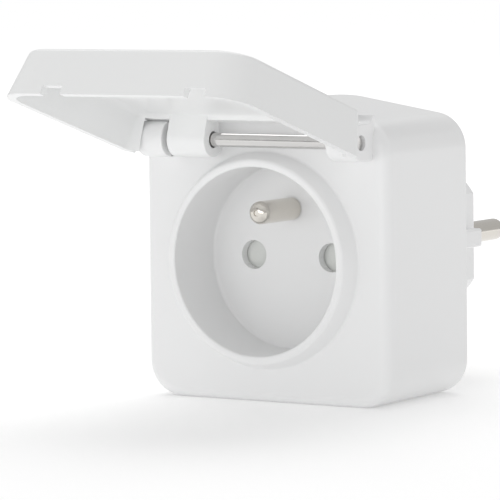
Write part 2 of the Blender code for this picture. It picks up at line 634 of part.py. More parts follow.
def make_boards():
    board = box("power_board", (POWER_BOARD_LEFT, BOARD_FRONT_Y, POWER_BOARD_LOW),
                (POWER_BOARD_RIGHT, BOARD_BACK_Y, POWER_BOARD_HIGH), BOARD)
    reach = STRAP_HALF_WIDTH + GAP
    cut(board, box("strap_window", (-reach, BOARD_FRONT_Y - OVERLAP, EARTH_Z - 1 * MM),
                   (reach, BOARD_BACK_Y + OVERLAP, EARTH_Z + 1 * MM)))
    for side in (-1, 1):
        x = side * POST_X
        cut(board, rod(f"board_hole_{side}", socket_point(x, BOARD_FRONT_Y - OVERLAP, -POST_DROP),
                       socket_point(x, BOARD_BACK_Y + OVERLAP, -POST_DROP), BOARD_SCREW_RADIUS + GAP,
                       segments=16))

    box("control_board", socket_point(CONTROL_BACK_X, CONTROL_FRONT_Y, -16 * MM),
        socket_point(CONTROL_BOARD_X, CONTROL_REAR_Y, 16 * MM), BOARD)
    side = CONTROL_BOARD_X + SLIDE_GAP
    box("board_header", socket_point(side, CONTROL_REAR_Y - 2.6 * MM, -8 * MM),
        socket_point(side + 2.5 * MM, CONTROL_REAR_Y - 0.1 * MM, 8 * MM), BLACK_PLASTIC, 0.2 * MM)
    box("wifi_shield_can", socket_point(side, CONTROL_FRONT_Y + 0.6 * MM, -13 * MM),
        socket_point(side + 2.0 * MM, CONTROL_FRONT_Y + 9 * MM, 3 * MM), TIN, 0.3 * MM)


def make_board_parts():
    back = BOARD_BACK_Y + GAP
    width, depth, height = RELAY_SIZE
    box("power_relay", socket_point(-width / 2, back, -15.7 * MM),
        socket_point(width / 2, back + depth, -15.7 * MM + height), BLACK_PLASTIC, 0.5 * MM)
    x, _, z = socket_point(-12 * MM, 0, 8.6 * MM)
    capacitor = rod("bulk_capacitor", (x, back, z), (x, back + 11.5 * MM, z), 4 * MM, BLACK_PLASTIC,
                    bevel=0.4 * MM)
    capacitor.data.materials[0] = TIN
    box("filter_capacitor", socket_point(9.2 * MM, back, 3.2 * MM),
        socket_point(15.2 * MM, back + 9 * MM, 13 * MM), BLUE, 0.5 * MM)

    front = BOARD_FRONT_Y - GAP
    x, _, z = socket_point(21.8 * MM, 0, 8 * MM)
    varistor = rod("varistor", (x - 2 * MM, front - 6.2 * MM, z), (x + 2 * MM, front - 6.2 * MM, z),
                   4.6 * MM, BLUE, bevel=0.8 * MM)
    for offset in (-2.4 * MM, 2.4 * MM):
        join(varistor, box(f"varistor_leg_{offset > 0}", (x - 0.4 * MM, front - 4 * MM, z + offset - 0.4 * MM),
                           (x + 0.4 * MM, front, z + offset + 0.4 * MM)))
    x, _, z = socket_point(21.8 * MM, 0, -9 * MM)
    fuse = rod("input_fuse", (x, front - 3.2 * MM, z - 7.5 * MM), (x, front - 3.2 * MM, z + 7.5 * MM),
               2.6 * MM, CLEAR, segments=24, bevel=0.3 * MM)
    for offset in (-6 * MM, 6 * MM):
        join(fuse, box(f"fuse_clip_{offset > 0}", (x - 2 * MM, front - 3 * MM, z + offset - 1 * MM),
                       (x + 2 * MM, front, z + offset + 1 * MM)))
    box("power_inductor", socket_point(6 * MM, front - 9 * MM, 8.8 * MM),
        socket_point(15 * MM, front, 17.6 * MM), BLACK_PLASTIC, 0.8 * MM)


def make_busbars():
    """Bent strips that carry the mains from the plug pins' tails to the power board."""
    for side, name in ((-1, "live_busbar"), (1, "neutral_busbar")):
        run = PIN_X + 2.2 * MM
        end = PIN_TAIL_Y - GAP - STRIP_THICKNESS / 2
        path = [(PIN_X - 2 * MM, end), (PIN_X + 1.2 * MM, end), (run, end - 1.6 * MM), (run, BOARD_BACK_Y + GAP)]
        outline = [(side * x, y) for x, y in strip_outline(path, STRIP_THICKNESS)]
        prism(name, outline, PLUG_Z - 2.6 * MM, PLUG_Z + 1.6 * MM, "Z", BRASS)


def make_button():
    """The button's stack from the wall inwards: cap, seal, plunger, switch."""
    wall = -HALF_WIDTH + WALL
    centre = (BUTTON_Y, SOCKET_HEIGHT)
    seal_x = wall + 0.1 * MM
    flange_x = seal_x + 0.5 * MM + 0.1 * MM
    plunger_x = flange_x + 0.6 * MM + GAP

    def at(x):
        return (x, *centre)

    cap = rod("button_cap", at(-HALF_WIDTH - BUTTON_PROUD), at(flange_x + OVERLAP), BUTTON_RADIUS,
              GREY_PLASTIC, bevel=0.4 * MM)
    join(cap, rod("button_flange", at(flange_x), at(flange_x + 0.6 * MM), BUTTON_RADIUS + 1.3 * MM))
    seal = rod("button_seal", at(seal_x), at(seal_x + 0.5 * MM), BUTTON_RADIUS + 1.4 * MM, RUBBER)
    cut(seal, rod("seal_bore", at(seal_x - OVERLAP), at(seal_x + 1 * MM), BUTTON_RADIUS + SLIDE_GAP))

    switch_x = CONTROL_BACK_X - SLIDE_GAP
    body_x = plunger_x + 0.9 * MM
    half = 3.0 * MM
    switch = box("tact_switch", (body_x, BUTTON_Y - half, SOCKET_HEIGHT - half),
                 (switch_x, BUTTON_Y + half, SOCKET_HEIGHT + half), BLACK_PLASTIC, 0.2 * MM)
    cut(switch, rod("plunger_bore", at(body_x - OVERLAP), at(body_x + 1.4 * MM), 1.6 * MM + SLIDE_GAP,
                    segments=20))
    rod("tact_plunger", at(plunger_x), at(body_x + 0.8 * MM), 1.6 * MM, GREY_PLASTIC, segments=20,
        bevel=0.2 * MM)

    led_x = CONTROL_BACK_X - SLIDE_GAP - 1.2 * MM
    box("status_led", (led_x, BUTTON_Y - 1 * MM, LED_Z - 1.4 * MM),
        (CONTROL_BACK_X - SLIDE_GAP, BUTTON_Y + 1 * MM, LED_Z + 1.4 * MM), CLEAR, 0.2 * MM)
    pipe = rod("light_pipe", (-HALF_WIDTH - 0.1 * MM, BUTTON_Y, LED_Z), (led_x - GAP, BUTTON_Y, LED_Z),
               LIGHT_PIPE_RADIUS, CLEAR, segments=20, bevel=0.2 * MM)
    join(pipe, rod("pipe_flange", (wall + SLIDE_GAP, BUTTON_Y, LED_Z), (wall + 1 * MM, BUTTON_Y, LED_Z),
                   LIGHT_PIPE_RADIUS + 0.9 * MM, segments=20))


def lid_section(top, inset=0.0):
    """The lid's outline, seen from above, at its top face or at its rim."""
    half = (LID_TOP_HALF_WIDTH if top else LID_RIM_HALF_WIDTH) - inset
    start = (LID_TOP_START if top else LID_RIM_START) + inset
    end = (LID_TOP_END if top else LID_RIM_END) - inset
    corners = [(-half, -start), (-half, -end), (half, -end), (half, -start)]
    far = LID_CORNER_RADIUS - inset * 0.8
    return rounded(corners, [LID_HINGE_CORNER, far, far, LID_HINGE_CORNER], 8)


def lid_tray(inset, top, rim):
    """A drafted tray shape between the lid's rim and its top, as a bmesh."""
    bm = prism_mesh(lid_section(False, inset), rim, top, "Z")
    upper = lid_section(True, inset)
    lower = lid_section(False, inset)
    share = (top - LID_RIM) / (LID_TOP - LID_RIM)
    for vert in bm.verts:
        if abs(vert.co.z - top) < 1e-6:
            index = min(range(len(lower)), key=lambda i: (Vector(lower[i]) - vert.co.xy).length)
            vert.co.xy = Vector(lower[index]).lerp(Vector(upper[index]), share)
    return bm


def make_lid():
    """A drafted tray with a knuckle round the hinge rod. Its frame has the axis at the origin."""
    bm = lid_tray(0, LID_TOP, LID_RIM)
    rim = [e for e in bm.edges if all(abs(v.co.z - LID_TOP) < 1e-6 for v in e.verts)]
    bmesh.ops.bevel(bm, geom=rim, offset=LID_EDGE_FILLET, segments=3, profile=0.5, affect="EDGES")
    lid = add_object("lid", bm, WHITE_PLASTIC)
    tools = [add_object("lid_hollow", lid_tray(LID_WALL, LID_TOP - LID_WALL, LID_RIM - OVERLAP))]
    reach = EAR_OUTER + 0.35 * MM
    drop = EAR_RADIUS - 0.4 * MM
    tools.append(box("hinge_window", (-reach, -LID_RIM_START - 1.8 * MM, LID_RIM - OVERLAP),
                     (reach, OVERLAP, drop)))
    half = LID_NOTCH_WIDTH / 2
    for x, number in ((LID_LEFT_NOTCH, 1), (LID_RIGHT_NOTCH, 2)):
        tools.append(box(f"lid_notch_{number}", (x - half, -LID_RIM_END - 1 * MM, LID_RIM - 1 * MM),
                         (x + half, -LID_RIM_END + LID_WALL + 2 * MM, LID_RIM + LID_NOTCH_DEPTH)))
    cut(lid, *tools)

    right = KNUCKLE_LEFT + KNUCKLE_WIDTH
    round_part = arc((0, 0), KNUCKLE_RADIUS, 75, 75 + 360, 36)[:-1]
    knuckle = prism("knuckle", round_part, KNUCKLE_LEFT, right, "X")
    web = box("knuckle_web", (KNUCKLE_LEFT, -LID_RIM_START - 1.0 * MM, -1.0 * MM),
              (right, -0.5 * MM, LID_TOP - LID_WALL + 0.4 * MM))
    join(knuckle, web)
    join(lid, knuckle)
    bore = rod("knuckle_bore", (KNUCKLE_LEFT - OVERLAP, 0, 0), (right + OVERLAP, 0, 0),
               ROD_RADIUS + GAP)
    cut(lid, bore)

    hinge = bpy.data.objects.new("hinge_axis", None)
    PARTS.objects.link(hinge)
    hinge.location = (0, HINGE_Y, HINGE_Z)
    hinge.rotation_euler.x = -LID_TILT
    for obj in (lid, knuckle, web, bore, *tools):
        obj.parent = hinge


def make_hinge_rod():
    end = EAR_OUTER - ROD_INSET
    rod("hinge_rod", (-end, HINGE_Y, HINGE_Z), (end, HINGE_Y, HINGE_Z), ROD_RADIUS, STEEL,
        segments=32, bevel=0.2 * MM)


make_front_housing()
make_rear_cover()
make_fastenings()
make_housing_seal()
make_earth_pin()
make_plug_pins()
make_earth_clips()
make_earth_strap()
make_socket_contacts()
make_contact_carrier()
make_shutter()
make_boards()
make_board_parts()
make_busbars()
make_button()
make_lid()
make_hinge_rod()
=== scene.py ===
"""Finished surfaces of an outdoor smart plug with a flip-up lid, built round its packed frame.

Metres, +Z up. The socket faces -Y, the plug pins point along +Y, and the origin is the middle of
the flat underside. Every piece is modelled in place and rides on a body of the frame.
"""

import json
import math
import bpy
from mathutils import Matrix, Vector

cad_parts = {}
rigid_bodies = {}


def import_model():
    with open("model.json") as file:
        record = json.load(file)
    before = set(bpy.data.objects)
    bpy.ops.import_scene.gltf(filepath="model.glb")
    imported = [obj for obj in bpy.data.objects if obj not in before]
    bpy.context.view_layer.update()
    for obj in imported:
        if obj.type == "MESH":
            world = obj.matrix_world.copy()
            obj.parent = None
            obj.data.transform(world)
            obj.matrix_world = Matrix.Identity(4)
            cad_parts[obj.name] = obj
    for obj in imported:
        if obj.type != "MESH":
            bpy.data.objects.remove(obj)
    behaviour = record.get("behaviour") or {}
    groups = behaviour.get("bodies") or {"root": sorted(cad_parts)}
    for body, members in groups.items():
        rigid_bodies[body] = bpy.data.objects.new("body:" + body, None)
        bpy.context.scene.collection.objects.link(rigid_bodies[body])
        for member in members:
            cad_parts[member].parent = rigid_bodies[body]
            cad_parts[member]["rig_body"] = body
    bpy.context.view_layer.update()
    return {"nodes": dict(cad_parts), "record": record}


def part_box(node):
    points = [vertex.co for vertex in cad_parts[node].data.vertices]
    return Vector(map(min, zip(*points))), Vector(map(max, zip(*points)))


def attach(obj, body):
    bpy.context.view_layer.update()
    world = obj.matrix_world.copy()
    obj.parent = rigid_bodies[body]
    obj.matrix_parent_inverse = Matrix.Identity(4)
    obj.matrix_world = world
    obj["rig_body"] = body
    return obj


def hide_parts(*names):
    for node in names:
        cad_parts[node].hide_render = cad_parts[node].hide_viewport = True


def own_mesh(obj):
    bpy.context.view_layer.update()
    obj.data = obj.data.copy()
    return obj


bl_info = {
    "name": "Outdoor Smart Plug",
    "version": (1, 0, 0),
    "blender": (4, 5, 0),
    "location": "3D View > Sidebar > Smart Plug",
    "description": "Builds the finished surfaces of an outdoor smart plug round its packed frame",
    "category": "Add Mesh",
}

import bmesh
import bpy
from bpy.props import FloatProperty, FloatVectorProperty, IntProperty, PointerProperty
from mathutils import Matrix, Quaternion, Vector

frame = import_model()
MM = 0.001

# Places read from the frame
HOUSING_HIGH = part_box("front_housing")[1]
COVER_LOW, COVER_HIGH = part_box("rear_cover")
ROD_LOW, ROD_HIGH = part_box("hinge_rod")
EARTH_LOW, EARTH_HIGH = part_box("earth_pin")
PIN_LOW, PIN_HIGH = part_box("right_plug_pin")
BUTTON_LOW, BUTTON_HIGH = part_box("button_cap")
PIPE_LOW, PIPE_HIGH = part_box("light_pipe")
HALF_WIDTH = HOUSING_HIGH.x
REAR_Y = HOUSING_HIGH.y
AXIS = Vector((0, (ROD_LOW.y + ROD_HIGH.y) / 2, (ROD_LOW.z + ROD_HIGH.z) / 2))
ROD_RADIUS = (ROD_HIGH.z - ROD_LOW.z) / 2
EARTH_RADIUS = EARTH_HIGH.x
EARTH_Z = (EARTH_LOW.z + EARTH_HIGH.z) / 2
PIN_X = (PIN_LOW.x + PIN_HIGH.x) / 2
PLUG_Z = (PIN_LOW.z + PIN_HIGH.z) / 2
OVERLAP = 0.5 * MM

# Clearances and roundings that more than one piece shares
FIT = 0.15 * MM
GAP = 0.3 * MM
END_ROUNDING = 0.25 * MM
BOSS_INSET, BOSS_TOP_Z, BOSS_RADIUS = 6.8 * MM, 52.25 * MM, 2.9 * MM
BUTTON_HOLE, PIPE_HOLE = 5.3 * MM, 1.55 * MM
SCREW_HEAD, SCREW_SHAFT = 1.2 * MM, 1.4 * MM
CREASE = math.radians(32)
LOOK_AT = Vector((-3.507, -16.7, 31.746)) * MM


# ---------------------------------------------------------------- settings


def length(name, default, description):
    return FloatProperty(name=name, description=description, default=default * MM, unit="LENGTH",
                         precision=5)


def colour(name, default, description):
    return FloatVectorProperty(name=name, description=description, default=default, size=3,
                               subtype="COLOR", min=0, max=1)


class HousingSettings(bpy.types.PropertyGroup):
    """Sizes of the shell, its socket and its hinge posts."""

    depth: length("Depth", 33.4, "Front face to rear rim")
    eaves: length("Shoulder height", 58.25, "Height of the top at the side walls, before rounding")
    ridge: length("Ridge rise", 4.95, "How far the top rises towards the middle")
    corner: length("Corner radius", 7.4, "Radius of the four corners")
    ridge_reach: length("Ridge rounding", 5.0, "How far the rounding of the ridge reaches each way")
    front_fillet: length("Front fillet", 2.5, "Radius round the front face")
    rear_fillet: length("Rear fillet", 1.0, "Radius round the rear rim")
    wall: length("Wall", 2.0, "Thickness of the shell")
    socket_height: length("Socket height", 29.7, "Middle of the socket above the underside")
    collar: length("Collar height", 4.2, "How far the collar stands out of the front face")
    collar_lip: length("Collar lip radius", 21.2, "Outer radius of the collar at its lip")
    collar_base: length("Collar base radius", 22.6, "Outer radius of the collar at the face")
    lip_round: length("Lip rounding", 0.9, "Radius of the outer edge of the lip")
    recess: length("Recess radius", 19.6, "Inner radius of the socket")
    recess_depth: length("Recess depth", 15.2, "Lip to floor")
    cup_wall: length("Cup wall", 1.8, "Wall round the recess behind the front face")
    pin_spacing: length("Pin spacing", 19.0, "Distance between the two pin holes")
    pin_hole: length("Pin hole radius", 3.0, "Radius of the two pin holes")
    post_radius: length("Post radius", 3.8, "Nose radius of the hinge posts")
    post_root: length("Post root radius", 1.6, "Radius where the posts' tops meet the face")
    post_outer: length("Post outer face", 26.2, "Outer face of the posts from the middle")
    post_width: length("Post width", 6.35, "Width of each hinge post")


class LidSettings(bpy.types.PropertyGroup):
    """Sizes of the lid in its own frame, forward of the hinge axis and above it."""

    tilt: FloatProperty(name="Tilt", description="Rise of the open lid above level",
                        default=math.radians(17), subtype="ANGLE")
    top: length("Top face", 6.2, "Outer face above the axis")
    rim: length("Rim", -3.85, "Rim above the axis")
    top_half: length("Top half width", 26.4, "Half width at the outer face")
    rim_half: length("Rim half width", 28.4, "Half width at the rim")
    top_start: length("Top start", 1.2, "Hinge end of the outer face")
    rim_start: length("Rim start", 2.2, "Hinge end of the side walls at the rim")
    top_end: length("Top end", 49.0, "Free end of the outer face")
    rim_end: length("Rim end", 52.0, "Free end at the rim")
    corner: length("Corner radius", 7.5, "Radius of the two free corners")
    hinge_corner: length("Hinge corner radius", 3.0, "Radius of the two corners by the hinge")
    wall: length("Wall", 1.7, "Thickness of the lid")
    edge: length("Edge radius", 0.8, "Radius round the outer face")
    inner_edge: length("Inner edge radius", 1.5, "Radius between the ceiling and the walls")
    knuckle_left: length("Knuckle start", -18.6, "Left face of the knuckle from the middle")
    knuckle_width: length("Knuckle width", 9.3, "Width of the knuckle")
    knuckle_radius: length("Knuckle radius", 3.7, "Outer radius of the knuckle")
    left_notch: length("Left notch", -14.4, "Middle of the left rim notch")
    right_notch: length("Right notch", 19.2, "Middle of the right rim notch")
    notch_width: length("Notch width", 4.8, "Width of the rim notches")
    notch_depth: length("Notch depth", 1.8, "Depth of the rim notches")


class PlugSettings(bpy.types.PropertyGroup):
    """Sizes of the rear cover and the plug body on it."""

    stage_base: length("Stage base radius", 25.5, "Radius of the cone where it leaves the cover")
    stage_top: length("Stage top radius", 20.0, "Radius of the cone at the plug body")
    stage_depth: length("Stage depth", 14.2, "Depth of the cone")
    cover: length("Cover thickness", 2.5, "Thickness of the cover plate")
    body_radius: length("Plug body radius", 17.2, "Radius of the plug body's round sides")
    body_flat: length("Plug body flat", 14.4, "Half width over the plug body's flats")
    key_reach: length("Key reach", 3.6, "How far the side keys stand out of the flats")
    key_height: length("Key height", 4.0, "Height of the side keys")
    key_setback: length("Key setback", 3.2, "Distance from the key's end to the plug's face")
    pin_radius: length("Pin radius", 2.4, "Radius of the plug pins")
    earth_hole: length("Earth hole radius", 3.2, "Radius of the hole for a wall socket's earth pin")


class FinishSettings(bpy.types.PropertyGroup):
    """Colours and grain of the finishes."""

    white: colour("White plastic", (0.87, 0.872, 0.873), "Housing, lid and cover")
    lid_white: colour("Lid plastic", (0.87, 0.875, 0.873), "The lid")
    shutter: colour("Shutter plastic", (0.76, 0.775, 0.75), "The shutter behind the pin holes")
    grey: colour("Grey plastic", (0.42, 0.43, 0.43), "Button and inner carrier")
    black: colour("Black plastic", (0.03, 0.03, 0.035), "Relay and other inner parts")
    steel: colour("Steel", (0.66, 0.65, 0.64), "Hinge rod and springs")
    nickel: colour("Nickel", (0.70, 0.67, 0.62), "Pins and earth clips")
    brass: colour("Brass", (0.72, 0.53, 0.25), "Contacts and strips")
    grain: FloatProperty(name="Grain", description="Strength of the plastic's fine surface grain",
                         default=0.035, min=0, max=1)
    rings: IntProperty(name="Ring segments", description="Segments of large turned shapes",
                       default=128, min=32, max=256)


class StageSettings(bpy.types.PropertyGroup):
    """Camera, floor and light."""

    azimuth: FloatProperty(name="Azimuth", description="Camera's bearing round the plug",
                           default=math.radians(32.423), subtype="ANGLE")
    pitch: FloatProperty(name="Pitch", description="Camera's angle above level",
                         default=math.radians(4.925), subtype="ANGLE")
    roll: FloatProperty(name="Roll", description="Camera's turn about its own axis",
                        default=math.radians(-0.666), subtype="ANGLE")
    distance: FloatProperty(name="Distance", description="Camera to what it looks at",
                            default=0.7397, unit="LENGTH")
    lens: FloatProperty(name="Lens", description="Focal length in millimetres", default=256.6)
    floor: colour("Floor", (0.95, 0.95, 0.95), "Floor")
    world: FloatProperty(name="Room light", description="Strength of the light all round",
                         default=0.58, min=0)
    overhead: FloatProperty(name="Overhead light", description="Power of the light above, in watts",
                            default=8.0, min=0)
    front: FloatProperty(name="Front light", description="Power of the low light in front, in watts",
                         default=4.0, min=0)
    # Painted light: the floor's glow whitens the floor and lights the plug from below, and is fainter
    # round the plug as painted shade.
    glow: FloatProperty(name="Floor glow", description="Light given off by the lit table",
                        default=0.45, min=0)


# ---------------------------------------------------------------- materials


def shader_group(name, inputs, outputs):
    """An empty node group with named sockets, and its input and output nodes."""
    group = bpy.data.node_groups.new(name, "ShaderNodeTree")
    for label, kind, default in inputs:
        socket = group.interface.new_socket(label, in_out="INPUT", socket_type=f"NodeSocket{kind}")
        socket.default_value = default
    for label, kind in outputs:
        group.interface.new_socket(label, in_out="OUTPUT", socket_type=f"NodeSocket{kind}")
    return group, group.nodes.new("NodeGroupInput"), group.nodes.new("NodeGroupOutput")


def add_node(tree, kind, settings=None, **links):
    """A node with its settings, and its inputs linked to a socket or set to a value."""
    node = tree.nodes.new(f"ShaderNode{kind}")
    for key, value in (settings or {}).items():
        setattr(node, key, value)
    for key, value in links.items():
        socket = node.inputs[int(key[1:]) if key[1:].isdigit() else key]
        if isinstance(value, bpy.types.NodeSocket):
            tree.links.new(value, socket)
        else:
            socket.default_value = value
    return node


def maths(tree, operation, *values):
    """What a Math node makes of sockets or numbers."""
    inputs = {f"i{place}": value for place, value in enumerate(values)}
    return add_node(tree, "Math", {"operation": operation}, **inputs).outputs[0]


def toned(group, given, noise, amount):
    """The given colour, made lighter and darker by a noise."""
    swing = maths(group, "SUBTRACT", noise.outputs["Fac"], 0.5)
    tone = maths(group, "MULTIPLY_ADD", swing, given.outputs[amount], 1.0)
    return scaled(group, given, tone)


def scaled(group, given, share):
    return add_node(group, "VectorMath", {"operation": "SCALE"}, i0=given.outputs["Colour"],
                    Scale=share).outputs[0]


def put_out(group, result, **sockets):
    for label, socket in sockets.items():
        group.links.new(socket, result.inputs[label])
    return group


def moulded_skin():
    """The skin of injection-moulded plastic: faint flow tone, fine grain and uneven gloss."""
    group, given, result = shader_group(
        "moulded skin",
        [("Colour", "Color", (0.8, 0.8, 0.8, 1)), ("Roughness", "Float", 0.35),
         ("Grain", "Float", 0.05), ("Grain scale", "Float", 3800.0), ("Tone", "Float", 0.02)],
        [("Colour", "Color"), ("Roughness", "Float"), ("Normal", "Vector")])
    place = add_node(group, "TexCoord").outputs["Object"]
    flow = add_node(group, "TexNoise", Vector=place, Scale=45.0, Detail=3.0, Roughness=0.5)
    grain = add_node(group, "TexNoise", Vector=place, Scale=given.outputs["Grain scale"], Detail=2.0)
    smear = add_node(group, "TexNoise", Vector=place, Scale=160.0, Detail=4.0, Roughness=0.6)
    gloss = maths(group, "SUBTRACT", smear.outputs["Fac"], 0.5)
    rough = maths(group, "MULTIPLY_ADD", gloss, 0.10, given.outputs["Roughness"])
    bump = add_node(group, "Bump", Strength=given.outputs["Grain"], Distance=0.0001,
                    Height=grain.outputs["Fac"])
    return put_out(group, result, Colour=toned(group, given, flow, "Tone"), Roughness=rough,
                   Normal=bump.outputs["Normal"])


def drawn_metal():
    """Fine lines left by drawing or turning, with soft handling marks across them."""
    group, given, result = shader_group(
        "drawn metal",
        [("Colour", "Color", (0.7, 0.7, 0.7, 1)), ("Roughness", "Float", 0.15),
         ("Lines", "Float", 0.1), ("Stretch", "Vector", (1.0, 1.0, 1.0)), ("Tarnish", "Float", 0.1)],
        [("Colour", "Color"), ("Roughness", "Float"), ("Normal", "Vector")])
    place = add_node(group, "TexCoord").outputs["Object"]
    pulled = add_node(group, "VectorMath", {"operation": "MULTIPLY"}, i0=place,
                      i1=given.outputs["Stretch"])
    lines = add_node(group, "TexNoise", Vector=pulled.outputs[0], Scale=1.0, Detail=3.0,
                     Roughness=0.6)
    marks = add_node(group, "TexNoise", Vector=place, Scale=220.0, Detail=4.0, Roughness=0.65)
    streak = maths(group, "MULTIPLY_ADD", lines.outputs["Fac"], 0.12, given.outputs["Roughness"])
    bump = add_node(group, "Bump", Strength=given.outputs["Lines"], Distance=0.00005,
                    Height=lines.outputs["Fac"])
    return put_out(group, result, Colour=toned(group, given, marks, "Tarnish"), Roughness=streak,
                   Normal=bump.outputs["Normal"])


def node_group(maker):
    """The group that a maker builds, built once."""
    name = maker.__name__.replace("_", " ")
    return bpy.data.node_groups.get(name) or maker()


def plain(name, constants):
    """A Principled material with its sockets set directly."""
    material = bpy.data.materials.new(name)
    material.use_nodes = True
    for socket, value in constants.items():
        material.node_tree.nodes["Principled BSDF"].inputs[socket].default_value = value
    return material


def feed(material, maker, values, **links):
    """Places a group in a material and links its outputs to the Principled sockets named."""
    tree = material.node_tree
    skin = tree.nodes.new("ShaderNodeGroup")
    skin.node_tree = node_group(maker)
    for socket, value in values.items():
        skin.inputs[socket].default_value = value
    for output, socket in links.items():
        tree.links.new(skin.outputs[output], tree.nodes["Principled BSDF"].inputs[socket])
    return material


def finish_with(name, maker, values, constants, **links):
    """A Principled material fed by a skin group, built once."""
    return bpy.data.materials.get(name) or feed(
        plain(name, constants), maker, values, Colour="Base Color", Normal="Normal", **links)


def plastic(name, tint, roughness, grain=0.05, tone=0.02, **constants):
    values = {"Colour": (*tint, 1), "Roughness": roughness, "Grain": grain, "Tone": tone}
    return finish_with(name, moulded_skin, values, {"IOR": 1.5, **constants}, Roughness="Roughness")


def metal(name, tint, roughness, stretch, lines=0.1, tarnish=0.08):
    values = {"Colour": (*tint, 1), "Roughness": roughness, "Lines": lines, "Stretch": stretch,
              "Tarnish": tarnish}
    return finish_with(name, drawn_metal, values, {"Metallic": 1.0}, Roughness="Roughness")


ALONG_X = (60.0, 9000.0, 9000.0)
ALONG_Y = (9000.0, 60.0, 9000.0)
EVEN = (1500.0, 1500.0, 1500.0)


def circuit_laminate():
    """Green laminate with rows of copper tracks under the solder mask."""
    group, given, result = shader_group(
        "circuit laminate", [("Colour", "Color", (0.03, 0.2, 0.09, 1))],
        [("Colour", "Color"), ("Normal", "Vector")])
    place = add_node(group, "TexCoord").outputs["Object"]
    tracks = add_node(group, "TexBrick", {"offset": 0.5}, Vector=place, Scale=160.0,
                      Color1=(0.0, 0.0, 0.0, 1), Color2=(0.0, 0.0, 0.0, 1), Mortar=(1.0, 1.0, 1.0, 1))
    weave = add_node(group, "TexNoise", Vector=place, Scale=900.0, Detail=2.0)
    mask = maths(group, "MULTIPLY_ADD", tracks.outputs["Fac"], 0.7, 1.0)
    height = maths(group, "MULTIPLY_ADD", weave.outputs["Fac"], 0.3, tracks.outputs["Fac"])
    bump = add_node(group, "Bump", Strength=0.2, Distance=0.0001, Height=height)
    return put_out(group, result, Colour=scaled(group, given, mask), Normal=bump.outputs["Normal"])


def painted_floor_glow():
    """Painted light given off by the floor, fainter in the middle, so the floor round the plug is
    painted darker as shade.
    """
    group, given, result = shader_group(
        "painted floor glow", [("Middle", "Float", 0.42), ("Start", "Float", 0.15), ("End", "Float", 1.0)],
        [("Colour", "Color")])
    place = add_node(group, "TexCoord").outputs["Object"]
    away = add_node(group, "VectorMath", {"operation": "LENGTH"}, i0=place)
    # The glow climbs from Middle near the plug to full strength at End: the dim middle is painted
    # shade.
    level = add_node(group, "MapRange", {"interpolation_type": "SMOOTHSTEP"},
                     i0=away.outputs["Value"], i1=given.outputs["Start"], i2=given.outputs["End"],
                     i3=given.outputs["Middle"], i4=1.0)
    return put_out(group, result, Colour=level.outputs["Result"])


def finishes(scene):
    """Every finish, by the record's material slot or by the piece that needs its own."""
    look = scene.smart_plug_finish
    return {
        "white_plastic": plastic("white satin plastic", look.white, 0.32, look.grain, 0.012),
        "lid_plastic": plastic("white lid plastic", look.lid_white, 0.30, look.grain, 0.012),
        "shutter": plastic("shutter plastic", look.shutter, 0.38, 0.06, 0.05),
        "grey_plastic": plastic("grey matte plastic", look.grey, 0.48, 0.08, 0.04),
        "black_plastic": plastic("black matte plastic", look.black, 0.45, 0.12, 0.15),
        "grey_rubber": plastic("grey seal rubber", (0.2, 0.2, 0.21), 0.8, 0.25, 0.15),
        "blue_coating": plastic("blue dipped coating", (0.05, 0.12, 0.42), 0.3, 0.1, 0.12),
        "clear_plastic": plastic("light pipe plastic", (0.82, 0.84, 0.84), 0.12, 0.02, 0.02,
                                 **{"Transmission Weight": 0.5}),
        "polished_steel": metal("polished steel", look.steel, 0.07, ALONG_X, 0.08, 0.06),
        "nickel_plate": metal("nickel plate", look.nickel, 0.10, ALONG_Y, 0.06, 0.10),
        "brass": metal("stamped brass", look.brass, 0.22, EVEN, 0.10, 0.18),
        "zinc_plate": metal("zinc plate", (0.6, 0.61, 0.63), 0.30, EVEN, 0.10, 0.15),
        "tin_plate": metal("tin plate", (0.7, 0.71, 0.72), 0.22, EVEN, 0.08, 0.10),
        "circuit_board": finish_with("green laminate", circuit_laminate, {},
                                     {"IOR": 1.5, "Roughness": 0.4}),
    }


# ---------------------------------------------------------------- modelling helpers


def only(geometry, kind):
    return [item for item in geometry if isinstance(item, kind)]


def bevel(bm, geometry, offset, segments, affect="EDGES"):
    return bmesh.ops.bevel(bm, geom=geometry, offset=offset, segments=segments, profile=0.5,
                           affect=affect, material=-1, clamp_overlap=False)


def rounded_face(bm, corners, reaches, segments=10):
    """A flat face from a few corners, each rounded as far along its sides as its reach."""
    verts = [bm.verts.new(corner) for corner in corners]
    face = bm.faces.new(verts)
    for vert, reach in zip(verts, reaches):
        bevel(bm, [vert], reach, segments, "VERTICES")
    return face if face.is_valid else max(bm.faces, key=lambda f: f.calc_area())


def push(bm, face, step):
    """Extrudes a face by a step and returns the vertices of its far end."""
    moved = only(bmesh.ops.extrude_face_region(bm, geom=[face])["geom"], bmesh.types.BMVert)
    bmesh.ops.translate(bm, verts=moved, vec=step)
    return moved


def facing(bm, direction, tolerance=0.999):
    """The largest face that looks along a direction."""
    bm.normal_update()
    found = [f for f in bm.faces if f.normal.dot(Vector(direction)) > tolerance]
    return max(found, key=lambda f: f.calc_area())


def new_ring(bm, centre, radius, segments):
    """A ring of edges round a line parallel to Y."""
    turn = Matrix.Translation(centre) @ Matrix.Rotation(math.pi / 2, 4, "X")
    verts = bmesh.ops.create_circle(bm, cap_ends=False, radius=radius, segments=segments,
                                    matrix=turn)["verts"]
    return list({edge for vert in verts for edge in vert.link_edges})


def carry_ring(bm, ring, centre, radius, y):
    """Extrudes a ring to another radius and depth, and returns the new ring."""
    grown = bmesh.ops.extrude_edge_only(bm, edges=ring)["geom"]
    verts = only(grown, bmesh.types.BMVert)
    now = math.hypot(verts[0].co.x - centre.x, verts[0].co.z - centre.z)
    share = radius / now
    bmesh.ops.scale(bm, verts=verts, vec=(share, 1, share), space=Matrix.Translation(-centre))
    bmesh.ops.translate(bm, verts=verts, vec=(0, y - verts[0].co.y, 0))
    fresh = set(verts)
    return [edge for edge in only(grown, bmesh.types.BMEdge) if set(edge.verts) <= fresh]


